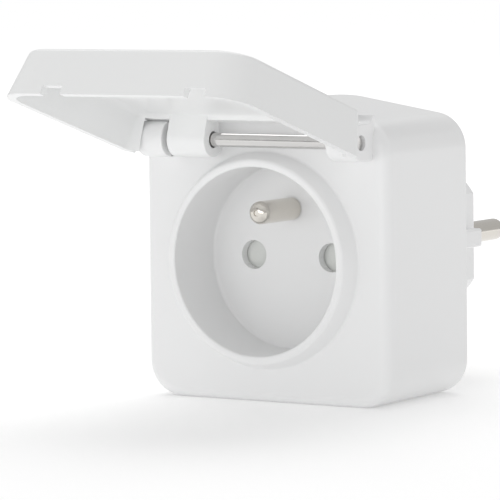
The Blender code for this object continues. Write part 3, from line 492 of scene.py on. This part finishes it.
def rounded_profile(points, radii, steps=5):
    """A profile line with its inner corners replaced by tangent arcs."""
    line = [Vector(points[0])]
    for before, here, after, radius in zip(points, points[1:], points[2:], radii):
        here = Vector(here)
        back = (Vector(before) - here).normalized()
        ahead = (Vector(after) - here).normalized()
        if radius == 0:
            line.append(here)
            continue
        half = back.angle(ahead) / 2
        centre = here + (back + ahead).normalized() * radius / math.sin(half)
        first = here + back * radius / math.tan(half) - centre
        turn = back.x * ahead.y - back.y * ahead.x
        sweep = math.copysign(math.pi - 2 * half, -turn)
        line += [centre + Matrix.Rotation(sweep * i / steps, 2) @ first for i in range(steps + 1)]
    return line + [Vector(points[-1])]


def block(low, high, edge=0.0, segments=3):
    """A bmesh box with rounded edges."""
    bm = bmesh.new()
    low, high = Vector(low), Vector(high)
    place = Matrix.Translation((low + high) / 2) @ Matrix.Diagonal((*(high - low), 1))
    bmesh.ops.create_cube(bm, size=1, matrix=place)
    if edge:
        bevel(bm, bm.edges[:], edge, segments)
    return bm


def bar(start, end, radius, end_radius=None, segments=48, start_edge=0.0, end_edge=0.0, steps=4):
    """A bmesh round bar or cone between two points, its ends rounded by their edge radii."""
    bm = bmesh.new()
    start, end = Vector(start), Vector(end)
    axis = end - start
    turn = Vector((0, 0, 1)).rotation_difference(axis).to_matrix().to_4x4()
    place = Matrix.Translation((start + end) / 2) @ turn
    bmesh.ops.create_cone(bm, cap_ends=True, segments=segments, radius1=radius,
                          radius2=radius if end_radius is None else end_radius,
                          depth=axis.length, matrix=place)
    for point, direction, edge in ((start, -axis, start_edge), (end, axis, end_edge)):
        if edge:
            cap = facing(bm, direction.normalized())
            bevel(bm, cap.edges[:], edge, steps)
    return bm


def along_y(x, z, start, end, radius, **ends):
    """A bmesh round bar parallel to Y."""
    return bar((x, start, z), (x, end, z), radius, **ends)


def extruded(outline, start, end):
    """A bmesh bar along X with a (y, z) outline and rounded ends."""
    bm = bmesh.new()
    face = bm.faces.new([bm.verts.new((start, y, z)) for y, z in outline])
    push(bm, face, (end - start, 0, 0))
    bmesh.ops.recalc_face_normals(bm, faces=bm.faces)
    bm.normal_update()
    ends = {edge for f in bm.faces if abs(f.normal.x) > 0.999 for edge in f.edges}
    bevel(bm, list(ends), END_ROUNDING, 3)
    return bm


def arc(y, z, radius, start, end, steps):
    """Points (y, z) along an arc between two angles in degrees."""
    turns = [math.radians(start + (end - start) * step / steps) for step in range(steps + 1)]
    return [(y + radius * math.cos(turn), z + radius * math.sin(turn)) for turn in turns]


def placed(name, data):
    """A new object in the scene."""
    obj = bpy.data.objects.new(name, data)
    bpy.context.scene.collection.objects.link(obj)
    return obj


def meshed(name, bm):
    """A new object in the scene from a bmesh, which is freed."""
    mesh = bpy.data.meshes.new(name)
    bm.to_mesh(mesh)
    bm.free()
    return placed(name, mesh)


def closed(name, bm):
    """A new object from a bmesh with its seams welded and its faces pointing out."""
    bmesh.ops.remove_doubles(bm, verts=bm.verts, dist=1e-7)
    bmesh.ops.recalc_face_normals(bm, faces=bm.faces)
    return meshed(name, bm)


def add(shape):
    return "UNION", shape


def cut(shape):
    return "DIFFERENCE", shape


def joined(base, steps):
    """The bmesh of a base shape after Boolean steps, each an operation and a bmesh."""
    body = closed("blank", base)
    tools = []
    for operation, shape in steps:
        tool = closed("tool", shape)
        modifier = body.modifiers.new("cut", "BOOLEAN")
        modifier.operation = operation
        modifier.object = tool
        tools.append(tool)
    graph = bpy.context.evaluated_depsgraph_get()
    result = bmesh.new()
    result.from_mesh(body.evaluated_get(graph).to_mesh())
    for obj in (body, *tools):
        mesh = obj.data
        bpy.data.objects.remove(obj)
        bpy.data.meshes.remove(mesh)
    if not result.faces:
        raise RuntimeError("a Boolean left nothing")
    return result


def piece(name, bm, body, node, slot, look=None):
    """A finished piece that rides on a body, stands for a CAD node and wears a finish."""
    obj = closed(name, bm)
    mesh = obj.data
    mesh.materials.append(finishes(bpy.context.scene)[look or slot])
    mesh.shade_smooth()
    mesh.set_sharp_from_angle(angle=CREASE)
    even = obj.modifiers.new("even shading", "WEIGHTED_NORMAL")
    even.keep_sharp = True
    even.weight = 100
    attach(obj, body)
    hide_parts(node)
    return obj


def tapered_face(bm, verts, share_x, share_y, about_y, shift_y):
    """Narrows the far end of a drafted block and shifts it along Y."""
    bmesh.ops.scale(bm, verts=verts, vec=(share_x, share_y, 1),
                    space=Matrix.Translation((0, -about_y, 0)))
    bmesh.ops.translate(bm, verts=verts, vec=(0, shift_y, 0))


# ---------------------------------------------------------------- housing


def body_corners(p, y, inset=0.0):
    """The corners of the front outline, and how far each rounding reaches."""
    slope = math.atan2(p.ridge, HALF_WIDTH)
    side = HALF_WIDTH - inset
    eaves = p.eaves + inset * math.tan(slope) - inset / math.cos(slope)
    ridge = p.eaves + p.ridge - inset / math.cos(slope)
    corners = [(-side, y, inset), (side, y, inset), (side, y, eaves), (0, y, ridge),
               (-side, y, eaves)]
    corner = p.corner - inset
    shoulder = corner / math.tan((math.pi / 2 + slope) / 2)
    return corners, [corner, corner, shoulder, p.ridge_reach, shoulder]


def housing_mesh(p, rings):
    """The shell as one closed moulding: outside, collar, recess, floor, cup and inner wall."""
    front = REAR_Y - p.depth
    bm = bmesh.new()
    corners, reaches = body_corners(p, REAR_Y)
    face = rounded_face(bm, corners, reaches, 12)
    push(bm, face, (0, -p.depth, 0))
    bmesh.ops.recalc_face_normals(bm, faces=bm.faces)
    bevel(bm, facing(bm, (0, -1, 0)).edges[:], p.front_fillet, 7)
    bevel(bm, facing(bm, (0, 1, 0)).edges[:], p.rear_fillet, 4)

    mouth = facing(bm, (0, -1, 0))
    outline = mouth.edges[:]
    bmesh.ops.delete(bm, geom=[mouth], context="FACES_ONLY")
    rear = facing(bm, (0, 1, 0))
    bmesh.ops.inset_region(bm, faces=[rear], thickness=p.wall - p.rear_fillet,
                           use_even_offset=True, use_boundary=True)
    rear = facing(bm, (0, 1, 0))
    inner = push(bm, rear, (0, p.wall - p.depth, 0))
    bmesh.ops.delete(bm, geom=[rear], context="FACES_ONLY")
    web = next(f for f in inner[0].link_faces if set(f.verts) == set(inner))
    inner_outline = web.edges[:]
    bmesh.ops.delete(bm, geom=[web], context="FACES_ONLY")

    centre = Vector((0, 0, p.socket_height))
    floor_y = front - p.collar + p.recess_depth
    lip = front - p.collar
    skirt, floor_rim = 1.2 * MM, 3 * MM
    base_round, inner_round, floor_round = 0.6 * MM, 0.45 * MM, 0.7 * MM
    profile = rounded_profile(
        [(p.collar_base + skirt, front), (p.collar_base, front), (p.collar_lip, lip),
         (p.recess, lip), (p.recess, floor_y), (p.recess - floor_rim, floor_y)],
        [base_round, p.lip_round, inner_round, floor_round])
    start = Vector((0, front, p.socket_height))
    ring = new_ring(bm, start, profile[0].x, rings)
    bmesh.ops.triangle_fill(bm, use_beauty=True, edges=outline + ring)
    for point in profile[1:]:
        ring = carry_ring(bm, ring, centre, point.x, point.y)

    back_y = floor_y + p.wall
    holes = [(side * p.pin_spacing / 2, p.socket_height, p.pin_hole) for side in (-1, 1)]
    holes.append((0, EARTH_Z, EARTH_RADIUS * 0.8))
    front_rings, back_rings = [], []
    soft = 0.18 * MM
    for x, z, radius in holes:
        middle = Vector((x, 0, z))
        edge = new_ring(bm, Vector((x, floor_y, z)), radius + soft, 48)
        front_rings += edge
        edge = carry_ring(bm, edge, middle, radius + soft * 0.3, floor_y + soft * 0.3)
        edge = carry_ring(bm, edge, middle, radius, floor_y + soft)
        back_rings += carry_ring(bm, edge, middle, radius, back_y)
    bmesh.ops.triangle_fill(bm, use_beauty=True, edges=ring + front_rings)

    cup_y = front + p.wall
    cup = new_ring(bm, Vector((0, cup_y, p.socket_height)), p.recess + p.cup_wall, rings)
    bmesh.ops.triangle_fill(bm, use_beauty=True, edges=inner_outline + cup)
    cup = carry_ring(bm, cup, centre, p.recess + p.cup_wall, back_y)
    bmesh.ops.triangle_fill(bm, use_beauty=True, edges=cup + back_rings)
    return bm


def hinge_post(p, side):
    """A post off the front face, with a round nose about the hinge axis and a rounded root."""
    front, root = REAR_Y - p.depth, p.post_root
    inner, outer = sorted((side * p.post_outer, side * (p.post_outer - p.post_width)))
    outline = arc(AXIS.y, AXIS.z, p.post_radius, 90, 270, 30)
    low, high = outline[-1][1], outline[0][1]
    outline += [(front + p.wall / 2, low), (front + p.wall / 2, high + root)]
    outline += arc(front - root, high + root, root, 0, -90, 6)
    return extruded(outline, inner, outer)


class SMARTPLUG_OT_housing(bpy.types.Operator):
    """Make the front housing with its socket and hinge posts"""

    bl_idname = "smart_plug.housing"
    bl_label = "Housing"

    def execute(self, context):
        p = context.scene.smart_plug_housing
        rings = context.scene.smart_plug_finish.rings
        steps = [add(hinge_post(p, side)) for side in (-1, 1)]
        steps.append(cut(bar((-HALF_WIDTH, AXIS.y, AXIS.z), (HALF_WIDTH, AXIS.y, AXIS.z),
                             ROD_RADIUS + FIT)))
        wall_start, wall_end = -HALF_WIDTH - OVERLAP, -HALF_WIDTH + p.wall + OVERLAP
        button_y = (BUTTON_LOW.y + BUTTON_HIGH.y) / 2
        for z, radius in ((p.socket_height, BUTTON_HOLE), ((PIPE_LOW.z + PIPE_HIGH.z) / 2, PIPE_HOLE)):
            steps.append(cut(bar((wall_start, button_y, z), (wall_end, button_y, z), radius)))
        bm = joined(housing_mesh(p, rings), steps)
        for side in (-1, 1):
            for z in (BOSS_INSET, BOSS_TOP_Z):
                boss = along_y(side * (HALF_WIDTH - BOSS_INSET), z, REAR_Y - p.depth + p.wall / 2,
                               COVER_LOW.y - GAP, BOSS_RADIUS, segments=32)
                bm = joined(bm, [add(boss)])
        piece("housing_moulding", bm, "housing", "front_housing", "white_plastic")
        return {"FINISHED"}


# ---------------------------------------------------------------- lid


def lid_block(p, inset, top, rim, edge):
    """A drafted block between the lid's rim and its top, narrower at the top."""
    bm = bmesh.new()
    half, start, end = p.rim_half - inset, p.rim_start + inset, p.rim_end - inset
    far = p.corner - inset * 0.8
    corners = [(-half, -start, rim), (-half, -end, rim), (half, -end, rim), (half, -start, rim)]
    face = rounded_face(bm, corners, [p.hinge_corner, far, far, p.hinge_corner], 12)
    moved = push(bm, face, (0, 0, top - rim))
    height = (top - p.rim) / (p.top - p.rim)
    share_x = 1 - height * (1 - (p.top_half - inset) / half)
    top_span = p.top_end - p.top_start - 2 * inset
    share_y = 1 - height * (1 - top_span / (end - start))
    tapered_face(bm, moved, share_x, share_y, -start, height * (p.rim_start - p.top_start))
    bmesh.ops.recalc_face_normals(bm, faces=bm.faces)
    bevel(bm, facing(bm, (0, 0, 1)).edges[:], edge, 5)
    return bm


def knuckle(p):
    """A barrel about the axis with a flat front that runs up into the ceiling."""
    radius, height = p.knuckle_radius, p.top - p.wall + 0.4 * MM
    outline = arc(0, 0, radius, 180, 360, 36)
    outline += [(radius - 2 * MM, 2.2 * MM), (radius - 2.8 * MM, height), (-radius, height)]
    return extruded(outline, p.knuckle_left, p.knuckle_left + p.knuckle_width)


class SMARTPLUG_OT_lid(bpy.types.Operator):
    """Make the lid with its knuckle and rim notches"""

    bl_idname = "smart_plug.lid"
    bl_label = "Lid"

    def execute(self, context):
        p = context.scene.smart_plug_lid
        housing = context.scene.smart_plug_housing
        hollow = lid_block(p, p.wall, p.top - p.wall, p.rim, p.inner_edge)
        for vert in facing(hollow, (0, 0, -1)).verts:
            vert.co.z -= OVERLAP
        reach = housing.post_outer + 0.35 * MM
        notch_rounding, past_wall = 0.15 * MM, 2 * MM
        window = block((-reach, -p.rim_start - 1.8 * MM, p.rim - OVERLAP),
                       (reach, OVERLAP, housing.post_radius - 0.4 * MM))
        steps = [cut(hollow), cut(window)]
        for x in (p.left_notch, p.right_notch):
            half = p.notch_width / 2
            low = (x - half, -p.rim_end - 1 * MM, p.rim - 1 * MM)
            high = (x + half, -p.rim_end + p.wall + past_wall, p.rim + p.notch_depth)
            steps.append(cut(block(low, high, notch_rounding, 2)))
        right = p.knuckle_left + p.knuckle_width
        bore = bar((p.knuckle_left - OVERLAP, 0, 0), (right + OVERLAP, 0, 0), ROD_RADIUS + GAP)
        steps += [add(knuckle(p)), cut(bore)]
        bm = joined(lid_block(p, 0, p.top, p.rim, p.edge), steps)
        place = Matrix.Translation(AXIS) @ Matrix.Rotation(-p.tilt, 4, "X")
        bmesh.ops.transform(bm, matrix=place, verts=bm.verts)
        piece("lid_moulding", bm, "lid", "lid", "white_plastic", "lid_plastic")
        return {"FINISHED"}


# ---------------------------------------------------------------- metalwork in front


def dimpled(bm, direction, edge, depth):
    """Sinks a small dimple in the middle of the end that faces a direction."""
    cap = facing(bm, direction)
    bmesh.ops.inset_region(bm, faces=[cap], thickness=edge, depth=-depth, use_even_offset=True)


class SMARTPLUG_OT_hinge_rod(bpy.types.Operator):
    """Make the polished hinge rod"""

    bl_idname = "smart_plug.hinge_rod"
    bl_label = "Hinge rod"

    def execute(self, context):
        bm = bar((ROD_LOW.x, AXIS.y, AXIS.z), (ROD_HIGH.x, AXIS.y, AXIS.z), ROD_RADIUS, segments=96,
                 start_edge=END_ROUNDING, end_edge=END_ROUNDING)
        piece("hinge_rod_turned", bm, "housing", "hinge_rod", "polished_steel")
        return {"FINISHED"}


class SMARTPLUG_OT_earth_pin(bpy.types.Operator):
    """Make the earth pin in the socket, with its rounded and dimpled tip"""

    bl_idname = "smart_plug.earth_pin"
    bl_label = "Earth pin"

    def execute(self, context):
        p = context.scene.smart_plug_housing
        floor_y = REAR_Y - p.depth - p.collar + p.recess_depth
        tip_rounding, stem_radius = 1.75 * MM, 1.8 * MM
        bm = along_y(0, EARTH_Z, floor_y - FIT, EARTH_LOW.y, EARTH_RADIUS, segments=96,
                     start_edge=FIT, end_edge=tip_rounding, steps=9)
        dimpled(bm, (0, -1, 0), 0.12 * MM, 0.25 * MM)
        stem = along_y(0, EARTH_Z, floor_y - 1 * MM, EARTH_HIGH.y, stem_radius)
        piece("earth_pin_turned", joined(bm, [add(stem)]), "housing", "earth_pin", "nickel_plate")
        return {"FINISHED"}


# ---------------------------------------------------------------- rear


def plug_body(p, inset=0.0, low=0.0, high=0.0, edge=0.0):
    """The plug body: a round bar with a flat on each side, between two depths."""
    bm = along_y(0, PLUG_Z, low, high, p.body_radius - inset, segments=128)
    flat = p.body_flat - inset
    for side in (-1, 1):
        cut = bmesh.ops.bisect_plane(bm, geom=bm.verts[:] + bm.edges[:] + bm.faces[:],
                                     plane_co=(side * flat, 0, 0), plane_no=(side, 0, 0),
                                     clear_outer=True)
        bmesh.ops.contextual_create(bm, geom=only(cut["geom_cut"], bmesh.types.BMEdge))
    bmesh.ops.recalc_face_normals(bm, faces=bm.faces)
    if edge:
        bevel(bm, facing(bm, (0, 1, 0)).edges[:], edge, 4)
    return bm


class SMARTPLUG_OT_rear_cover(bpy.types.Operator):
    """Make the rear cover with its cone, plug body and keys"""

    bl_idname = "smart_plug.rear_cover"
    bl_label = "Rear cover"

    def execute(self, context):
        p = context.scene.smart_plug_rear
        housing = context.scene.smart_plug_housing
        back = COVER_LOW.y + p.cover
        stage_end = back + p.stage_depth
        face_y = COVER_HIGH.y
        plate = bmesh.new()
        corners, reaches = body_corners(housing, COVER_LOW.y, housing.wall + GAP)
        push(plate, rounded_face(plate, corners, reaches, 12), (0, p.cover, 0))
        bmesh.ops.recalc_face_normals(plate, faces=plate.faces)
        bevel(plate, facing(plate, (0, 1, 0)).edges[:], 0.35 * MM, 3)
        cone = along_y(0, PLUG_Z, back - OVERLAP, stage_end, p.stage_base, end_radius=p.stage_top,
                       segments=128, end_edge=1.6 * MM, steps=6)
        hollow = along_y(0, PLUG_Z, COVER_LOW.y - OVERLAP, stage_end - housing.wall,
                         p.stage_base - housing.wall, end_radius=p.stage_top - housing.wall,
                         segments=96)
        steps = [add(cone), add(plug_body(p, 0, stage_end - OVERLAP, face_y, 0.7 * MM))]
        for side in (-1, 1):
            inner, outer = sorted((side * (p.body_flat - OVERLAP), side * (p.body_flat + p.key_reach)))
            steps.append(add(block((inner, stage_end - OVERLAP, PLUG_Z - p.key_height / 2),
                                   (outer, face_y - p.key_setback, PLUG_Z + p.key_height / 2),
                                   0.5 * MM)))
        steps += [cut(hollow), cut(plug_body(p, 1.5 * MM, stage_end - housing.wall - OVERLAP,
                                             face_y - housing.wall))]
        inside = face_y - housing.wall - OVERLAP
        outside = face_y + OVERLAP
        earth_rise = 10 * MM
        for x, z, radius in ((-PIN_X, PLUG_Z, p.pin_radius + FIT), (PIN_X, PLUG_Z, p.pin_radius + FIT),
                             (0, PLUG_Z + earth_rise, p.earth_hole)):
            steps.append(cut(along_y(x, z, inside, outside, radius, segments=64)))
        for name, side in (("upper_earth_clip", 1), ("lower_earth_clip", -1)):
            low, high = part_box(name)
            groove = PLUG_Z + side * (p.body_radius - 1.2 * MM)
            beyond = PLUG_Z + side * (p.body_radius + OVERLAP)
            slot = PLUG_Z + side * (p.body_radius - housing.wall - OVERLAP)
            for floor, end in ((groove, high.y + GAP), (slot, low.y + 1.1 * MM)):
                bottom, top = sorted((floor, beyond))
                steps.append(cut(block((low.x - GAP, low.y - GAP, bottom), (high.x + GAP, end, top))))
        hole, sink, sink_depth = 1.7 * MM, 2.8 * MM, 1.6 * MM
        for x, z in screw_places():
            steps.append(cut(along_y(x, z, COVER_LOW.y - OVERLAP, back + OVERLAP, hole, segments=32)))
            steps.append(cut(along_y(x, z, back - sink_depth, back + OVERLAP, sink, segments=48)))
        piece("rear_cover_moulding", joined(plate, steps), "housing", "rear_cover", "white_plastic")
        return {"FINISHED"}


class SMARTPLUG_OT_plug_pins(bpy.types.Operator):
    """Make the two plug pins with their rounded tips"""

    bl_idname = "smart_plug.plug_pins"
    bl_label = "Plug pins"

    def execute(self, context):
        p = context.scene.smart_plug_rear
        inner = COVER_HIGH.y - 2.3 * MM
        flange_depth, flange_radius, tail_radius, rounding = 2.5 * MM, 3.0 * MM, 1.6 * MM, 0.2 * MM
        for side, node in ((-1, "left_plug_pin"), (1, "right_plug_pin")):
            x = side * PIN_X
            bm = along_y(x, PLUG_Z, inner - 1.5 * MM, PIN_HIGH.y, p.pin_radius, segments=96,
                         end_edge=1.7 * MM, steps=8)
            flange = along_y(x, PLUG_Z, inner - flange_depth, inner, flange_radius,
                             start_edge=rounding, end_edge=rounding)
            tail = along_y(x, PLUG_Z, PIN_LOW.y, inner - 2 * MM, tail_radius)
            piece(f"{node}_turned", joined(bm, [add(flange), add(tail)]), "housing", node,
                  "nickel_plate")
        return {"FINISHED"}


def screw_places():
    """The housing screws as (x, z), from the frame."""
    boxes = [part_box(f"housing_screw_{number}") for number in range(1, 5)]
    return [((low.x + high.x) / 2, (low.z + high.z) / 2) for low, high in boxes]


class SMARTPLUG_OT_screws(bpy.types.Operator):
    """Make the four pan-head screws that hold the rear cover"""

    bl_idname = "smart_plug.screws"
    bl_label = "Screws"

    def execute(self, context):
        slot_half, slot_depth, slot_rounding = 0.32 * MM, 0.7 * MM, 0.08 * MM
        for number, (x, z) in enumerate(screw_places(), 1):
            node = f"housing_screw_{number}"
            low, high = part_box(node)
            head = (high.x - low.x) / 2
            seat = high.y - SCREW_HEAD
            bm = along_y(x, z, seat, high.y, head, segments=64, end_edge=0.6 * MM, steps=5)
            shaft = along_y(x, z, low.y, seat + GAP, SCREW_SHAFT, segments=32, start_edge=0.5 * MM)
            steps = [add(shaft)]
            blade = head * 0.6
            for across, tall in ((blade, slot_half), (slot_half, blade)):
                steps.append(cut(block((x - across, high.y - slot_depth, z - tall),
                                       (x + across, high.y + OVERLAP, z + tall), slot_rounding, 2)))
            piece(f"{node}_turned", joined(bm, steps), "housing", node, "zinc_plate")
        return {"FINISHED"}


class SMARTPLUG_OT_earth_clips(bpy.types.Operator):
    """Make the sprung earth clips at the top and bottom of the plug body"""

    bl_idname = "smart_plug.earth_clips"
    bl_label = "Earth clips"

    def execute(self, context):
        for node in ("upper_earth_clip", "lower_earth_clip"):
            softened(node, "housing", "nickel_plate", 0.12 * MM)
        return {"FINISHED"}


# ---------------------------------------------------------------- button and light


class SMARTPLUG_OT_button(bpy.types.Operator):
    """Make the push button and the light pipe on the left side"""

    bl_idname = "smart_plug.button"
    bl_label = "Button and light"

    def execute(self, context):
        y = (BUTTON_LOW.y + BUTTON_HIGH.y) / 2
        z = (BUTTON_LOW.z + BUTTON_HIGH.z) / 2
        flange_x, cap_radius, pipe_radius, pipe_flange = (
            BUTTON_HIGH.x - 0.6 * MM, 5 * MM, 1.4 * MM, 2.3 * MM)
        rounding = 0.1 * MM
        cap = bar((flange_x + OVERLAP, y, z), (BUTTON_LOW.x, y, z), cap_radius, segments=96,
                  end_edge=0.5 * MM)
        top = facing(cap, (-1, 0, 0))
        bmesh.ops.inset_region(cap, faces=[top], thickness=0.5 * MM, use_even_offset=True)
        bmesh.ops.inset_region(cap, faces=[top], thickness=0.6 * MM, depth=-0.18 * MM,
                               use_even_offset=True)
        flange = bar((flange_x, y, z), (BUTTON_HIGH.x, y, z), (BUTTON_HIGH.y - BUTTON_LOW.y) / 2,
                     segments=64, start_edge=rounding, end_edge=rounding)
        piece("button_cap_moulding", joined(cap, [add(flange)]), "button", "button_cap",
              "grey_plastic")
        z = (PIPE_LOW.z + PIPE_HIGH.z) / 2
        pipe = bar((PIPE_HIGH.x, y, z), (PIPE_LOW.x, y, z), pipe_radius, segments=48,
                   start_edge=rounding, end_edge=0.45 * MM)
        flange = bar((-HALF_WIDTH + 2.15 * MM, y, z), (-HALF_WIDTH + 3 * MM, y, z), pipe_flange,
                     start_edge=rounding, end_edge=rounding)
        piece("light_pipe_moulding", joined(pipe, [add(flange)]), "housing", "light_pipe",
              "clear_plastic")
        return {"FINISHED"}


# ---------------------------------------------------------------- inside


def softened(node, body, slot, width):
    """A copy of a CAD node with its flat faces merged and its sharp edges rounded."""
    bm = bmesh.new()
    bm.from_mesh(frame["nodes"][node].data)
    bmesh.ops.remove_doubles(bm, verts=bm.verts, dist=1e-6)
    bmesh.ops.dissolve_limit(bm, angle_limit=math.radians(1), verts=bm.verts, edges=bm.edges)
    bm.normal_update()
    sharp = [e for e in bm.edges if e.is_manifold and e.calc_face_angle() > math.radians(35)]
    bevel(bm, sharp, width, 2)
    return piece(f"{node}_finished", bm, body, node, slot)


class SMARTPLUG_OT_shutter_spring(bpy.types.Operator):
    """Make the spring under the shutter"""

    bl_idname = "smart_plug.shutter_spring"
    bl_label = "Shutter spring"

    def execute(self, context):
        low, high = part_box("shutter_spring")
        travel, wire, turns, steps = 5.8 * MM, 0.2 * MM, 5, 28
        height, y = high.z - low.z, (low.y + high.y) / 2
        bm = bmesh.new()
        section = bmesh.ops.create_circle(
            bm, cap_ends=True, radius=wire, segments=10,
            matrix=Matrix.Translation((high.x - wire, y, low.z + wire))
            @ Matrix.Rotation(math.pi / 2, 4, "X"))["verts"]
        bmesh.ops.spin(bm, geom=section + bm.edges[:] + bm.faces[:], cent=(0, y, 0), axis=(0, 0, 1),
                       angle=turns * math.tau, steps=turns * steps,
                       dvec=(0, 0, (height - 2 * wire) / (turns * steps)))
        obj = piece("shutter_spring_wound", bm, "housing", "shutter_spring", "polished_steel")
        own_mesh(obj)
        return {"FINISHED"}


SOFTENED = {
    "power_relay": 0.25, "filter_capacitor": 0.3, "power_inductor": 0.3, "board_header": 0.12,
    "wifi_shield_can": 0.15, "status_led": 0.12, "control_board": 0.12,
}


class SMARTPLUG_OT_inner_works(bpy.types.Operator):
    """Finish the boards, contacts, shutter and other inner pieces"""

    bl_idname = "smart_plug.inner_works"
    bl_label = "Inner works"

    def execute(self, context):
        looks = finishes(context.scene)
        slots = {row["node"]: row["material_slot"] for row in frame["record"]["subparts"]}
        for node, obj in sorted(frame["nodes"].items()):
            if obj.hide_render:
                continue
            material = looks["shutter"] if node == "shutter_slide" else looks[slots[node]]
            if node in SOFTENED:
                softened(node, obj["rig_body"], slots[node], SOFTENED[node] * MM)
                continue
            obj.data.materials.clear()
            obj.data.materials.append(material)
        return {"FINISHED"}


# ---------------------------------------------------------------- stage


def add_light(name, place, aim, size, power):
    """A white softbox that looks at a point."""
    light = bpy.data.lights.new(name, "AREA")
    light.shape = "RECTANGLE"
    light.size, light.size_y = size
    light.energy = power
    obj = placed(name, light)
    obj.location = place
    obj.rotation_mode = "QUATERNION"
    obj.rotation_quaternion = (Vector(place) - Vector(aim)).to_track_quat("Z", "Y")


def add_card(name, place, aim, size):
    """A dark card that shows only in reflections."""
    bm = bmesh.new()
    turn = (Vector(place) - Vector(aim)).to_track_quat("Z", "Y").to_matrix().to_4x4()
    bmesh.ops.create_grid(bm, x_segments=1, y_segments=1, size=0.5,
                          matrix=Matrix.Translation(place) @ turn @ Matrix.Diagonal((*size, 1, 1)))
    obj = meshed(name, bm)
    black = {"Base Color": (0.005, 0.005, 0.005, 1), "Roughness": 0.9, "IOR": 1.5}
    obj.data.materials.append(plain("black card", black))
    obj.visible_camera = False
    obj.visible_diffuse = False
    obj.visible_shadow = False


class SMARTPLUG_OT_stage(bpy.types.Operator):
    """Set up the camera, the pale floor and the soft light"""

    bl_idname = "smart_plug.stage"
    bl_label = "Stage"

    def execute(self, context):
        s = context.scene.smart_plug_stage
        camera = bpy.data.cameras.new("camera")
        camera.lens = s.lens
        camera.sensor_width = 36
        camera.clip_start, camera.clip_end = 0.05, 100
        obj = placed("camera", camera)
        back = Vector((math.sin(s.azimuth) * math.cos(s.pitch),
                       -math.cos(s.azimuth) * math.cos(s.pitch), math.sin(s.pitch)))
        obj.location = LOOK_AT + back * s.distance
        obj.rotation_mode = "QUATERNION"
        obj.rotation_quaternion = back.to_track_quat("Z", "Y") @ Quaternion((0, 0, 1), s.roll)
        context.scene.camera = obj

        bm = bmesh.new()
        bmesh.ops.create_grid(bm, x_segments=1, y_segments=1, size=40)
        floor = meshed("floor", bm)
        # The floor glows as painted light, dimmed round the plug as painted shade.
        matte = {"Base Color": (*s.floor, 1), "Roughness": 0.9, "IOR": 1.5,
                 "Specular IOR Level": 0.0, "Emission Strength": s.glow}
        floor.data.materials.append(feed(plain("pale floor", matte), painted_floor_glow, {},
                                         Colour="Emission Color"))

        world = bpy.data.worlds.new("studio")
        world.use_nodes = True
        context.scene.world = world
        tree = world.node_tree
        background = tree.nodes["Background"]
        background.inputs["Color"].default_value = (1, 1, 1, 1)
        background.inputs["Strength"].default_value = s.world
        shown = add_node(tree, "Background", Color=(1, 1, 1, 1), Strength=1.0)
        path = add_node(tree, "LightPath")
        mix = add_node(tree, "MixShader", i0=path.outputs["Is Camera Ray"],
                       i1=background.outputs[0], i2=shown.outputs[0])
        tree.links.new(mix.outputs[0], tree.nodes["World Output"].inputs["Surface"])
        context.scene.view_settings.view_transform = "Standard"

        aim = (0, 0, 0.03)
        add_light("overhead softbox", (-0.35, 0.45, 1.3), aim, (1.3, 1.3), s.overhead)
        add_light("front softbox", (0.1, -1.6, 0.14), aim, (1.8, 0.26), s.front)
        add_card("left flag", (-0.16, -0.32, 0.22), aim, (0.03, 0.3))
        add_card("rear flag", (0.04, 0.065, 0.10), (0.01, 0.058, 0.03), (0.05, 0.04))
        return {"FINISHED"}


# ---------------------------------------------------------------- panel and run


PIECES = (SMARTPLUG_OT_housing, SMARTPLUG_OT_lid, SMARTPLUG_OT_hinge_rod, SMARTPLUG_OT_earth_pin,
          SMARTPLUG_OT_rear_cover, SMARTPLUG_OT_plug_pins, SMARTPLUG_OT_screws,
          SMARTPLUG_OT_earth_clips, SMARTPLUG_OT_button, SMARTPLUG_OT_shutter_spring,
          SMARTPLUG_OT_inner_works, SMARTPLUG_OT_stage)
SETTINGS = {"smart_plug_housing": HousingSettings, "smart_plug_lid": LidSettings,
            "smart_plug_rear": PlugSettings, "smart_plug_finish": FinishSettings,
            "smart_plug_stage": StageSettings}


class SMARTPLUG_PT_panel(bpy.types.Panel):
    """Lists the settings and the pieces"""

    bl_idname = "SMARTPLUG_PT_panel"
    bl_label = "Smart Plug"
    bl_space_type = "VIEW_3D"
    bl_region_type = "UI"
    bl_category = "Smart Plug"

    def draw(self, context):
        for name, settings in SETTINGS.items():
            box = self.layout.box()
            box.label(text=settings.__doc__)
            for field in settings.__annotations__:
                box.prop(getattr(context.scene, name), field)
        for operator in PIECES:
            self.layout.operator(operator.bl_idname)


CLASSES = (*SETTINGS.values(), *PIECES, SMARTPLUG_PT_panel)


def register():
    for cls in CLASSES:
        bpy.utils.register_class(cls)
    for name, settings in SETTINGS.items():
        setattr(bpy.types.Scene, name, PointerProperty(type=settings))


def unregister():
    for name in SETTINGS:
        delattr(bpy.types.Scene, name)
    for cls in reversed(CLASSES):
        bpy.utils.unregister_class(cls)


def main():
    register()
    for operator in PIECES:
        group, name = operator.bl_idname.split(".")
        getattr(getattr(bpy.ops, group), name)()


if __name__ == "__main__":
    main()
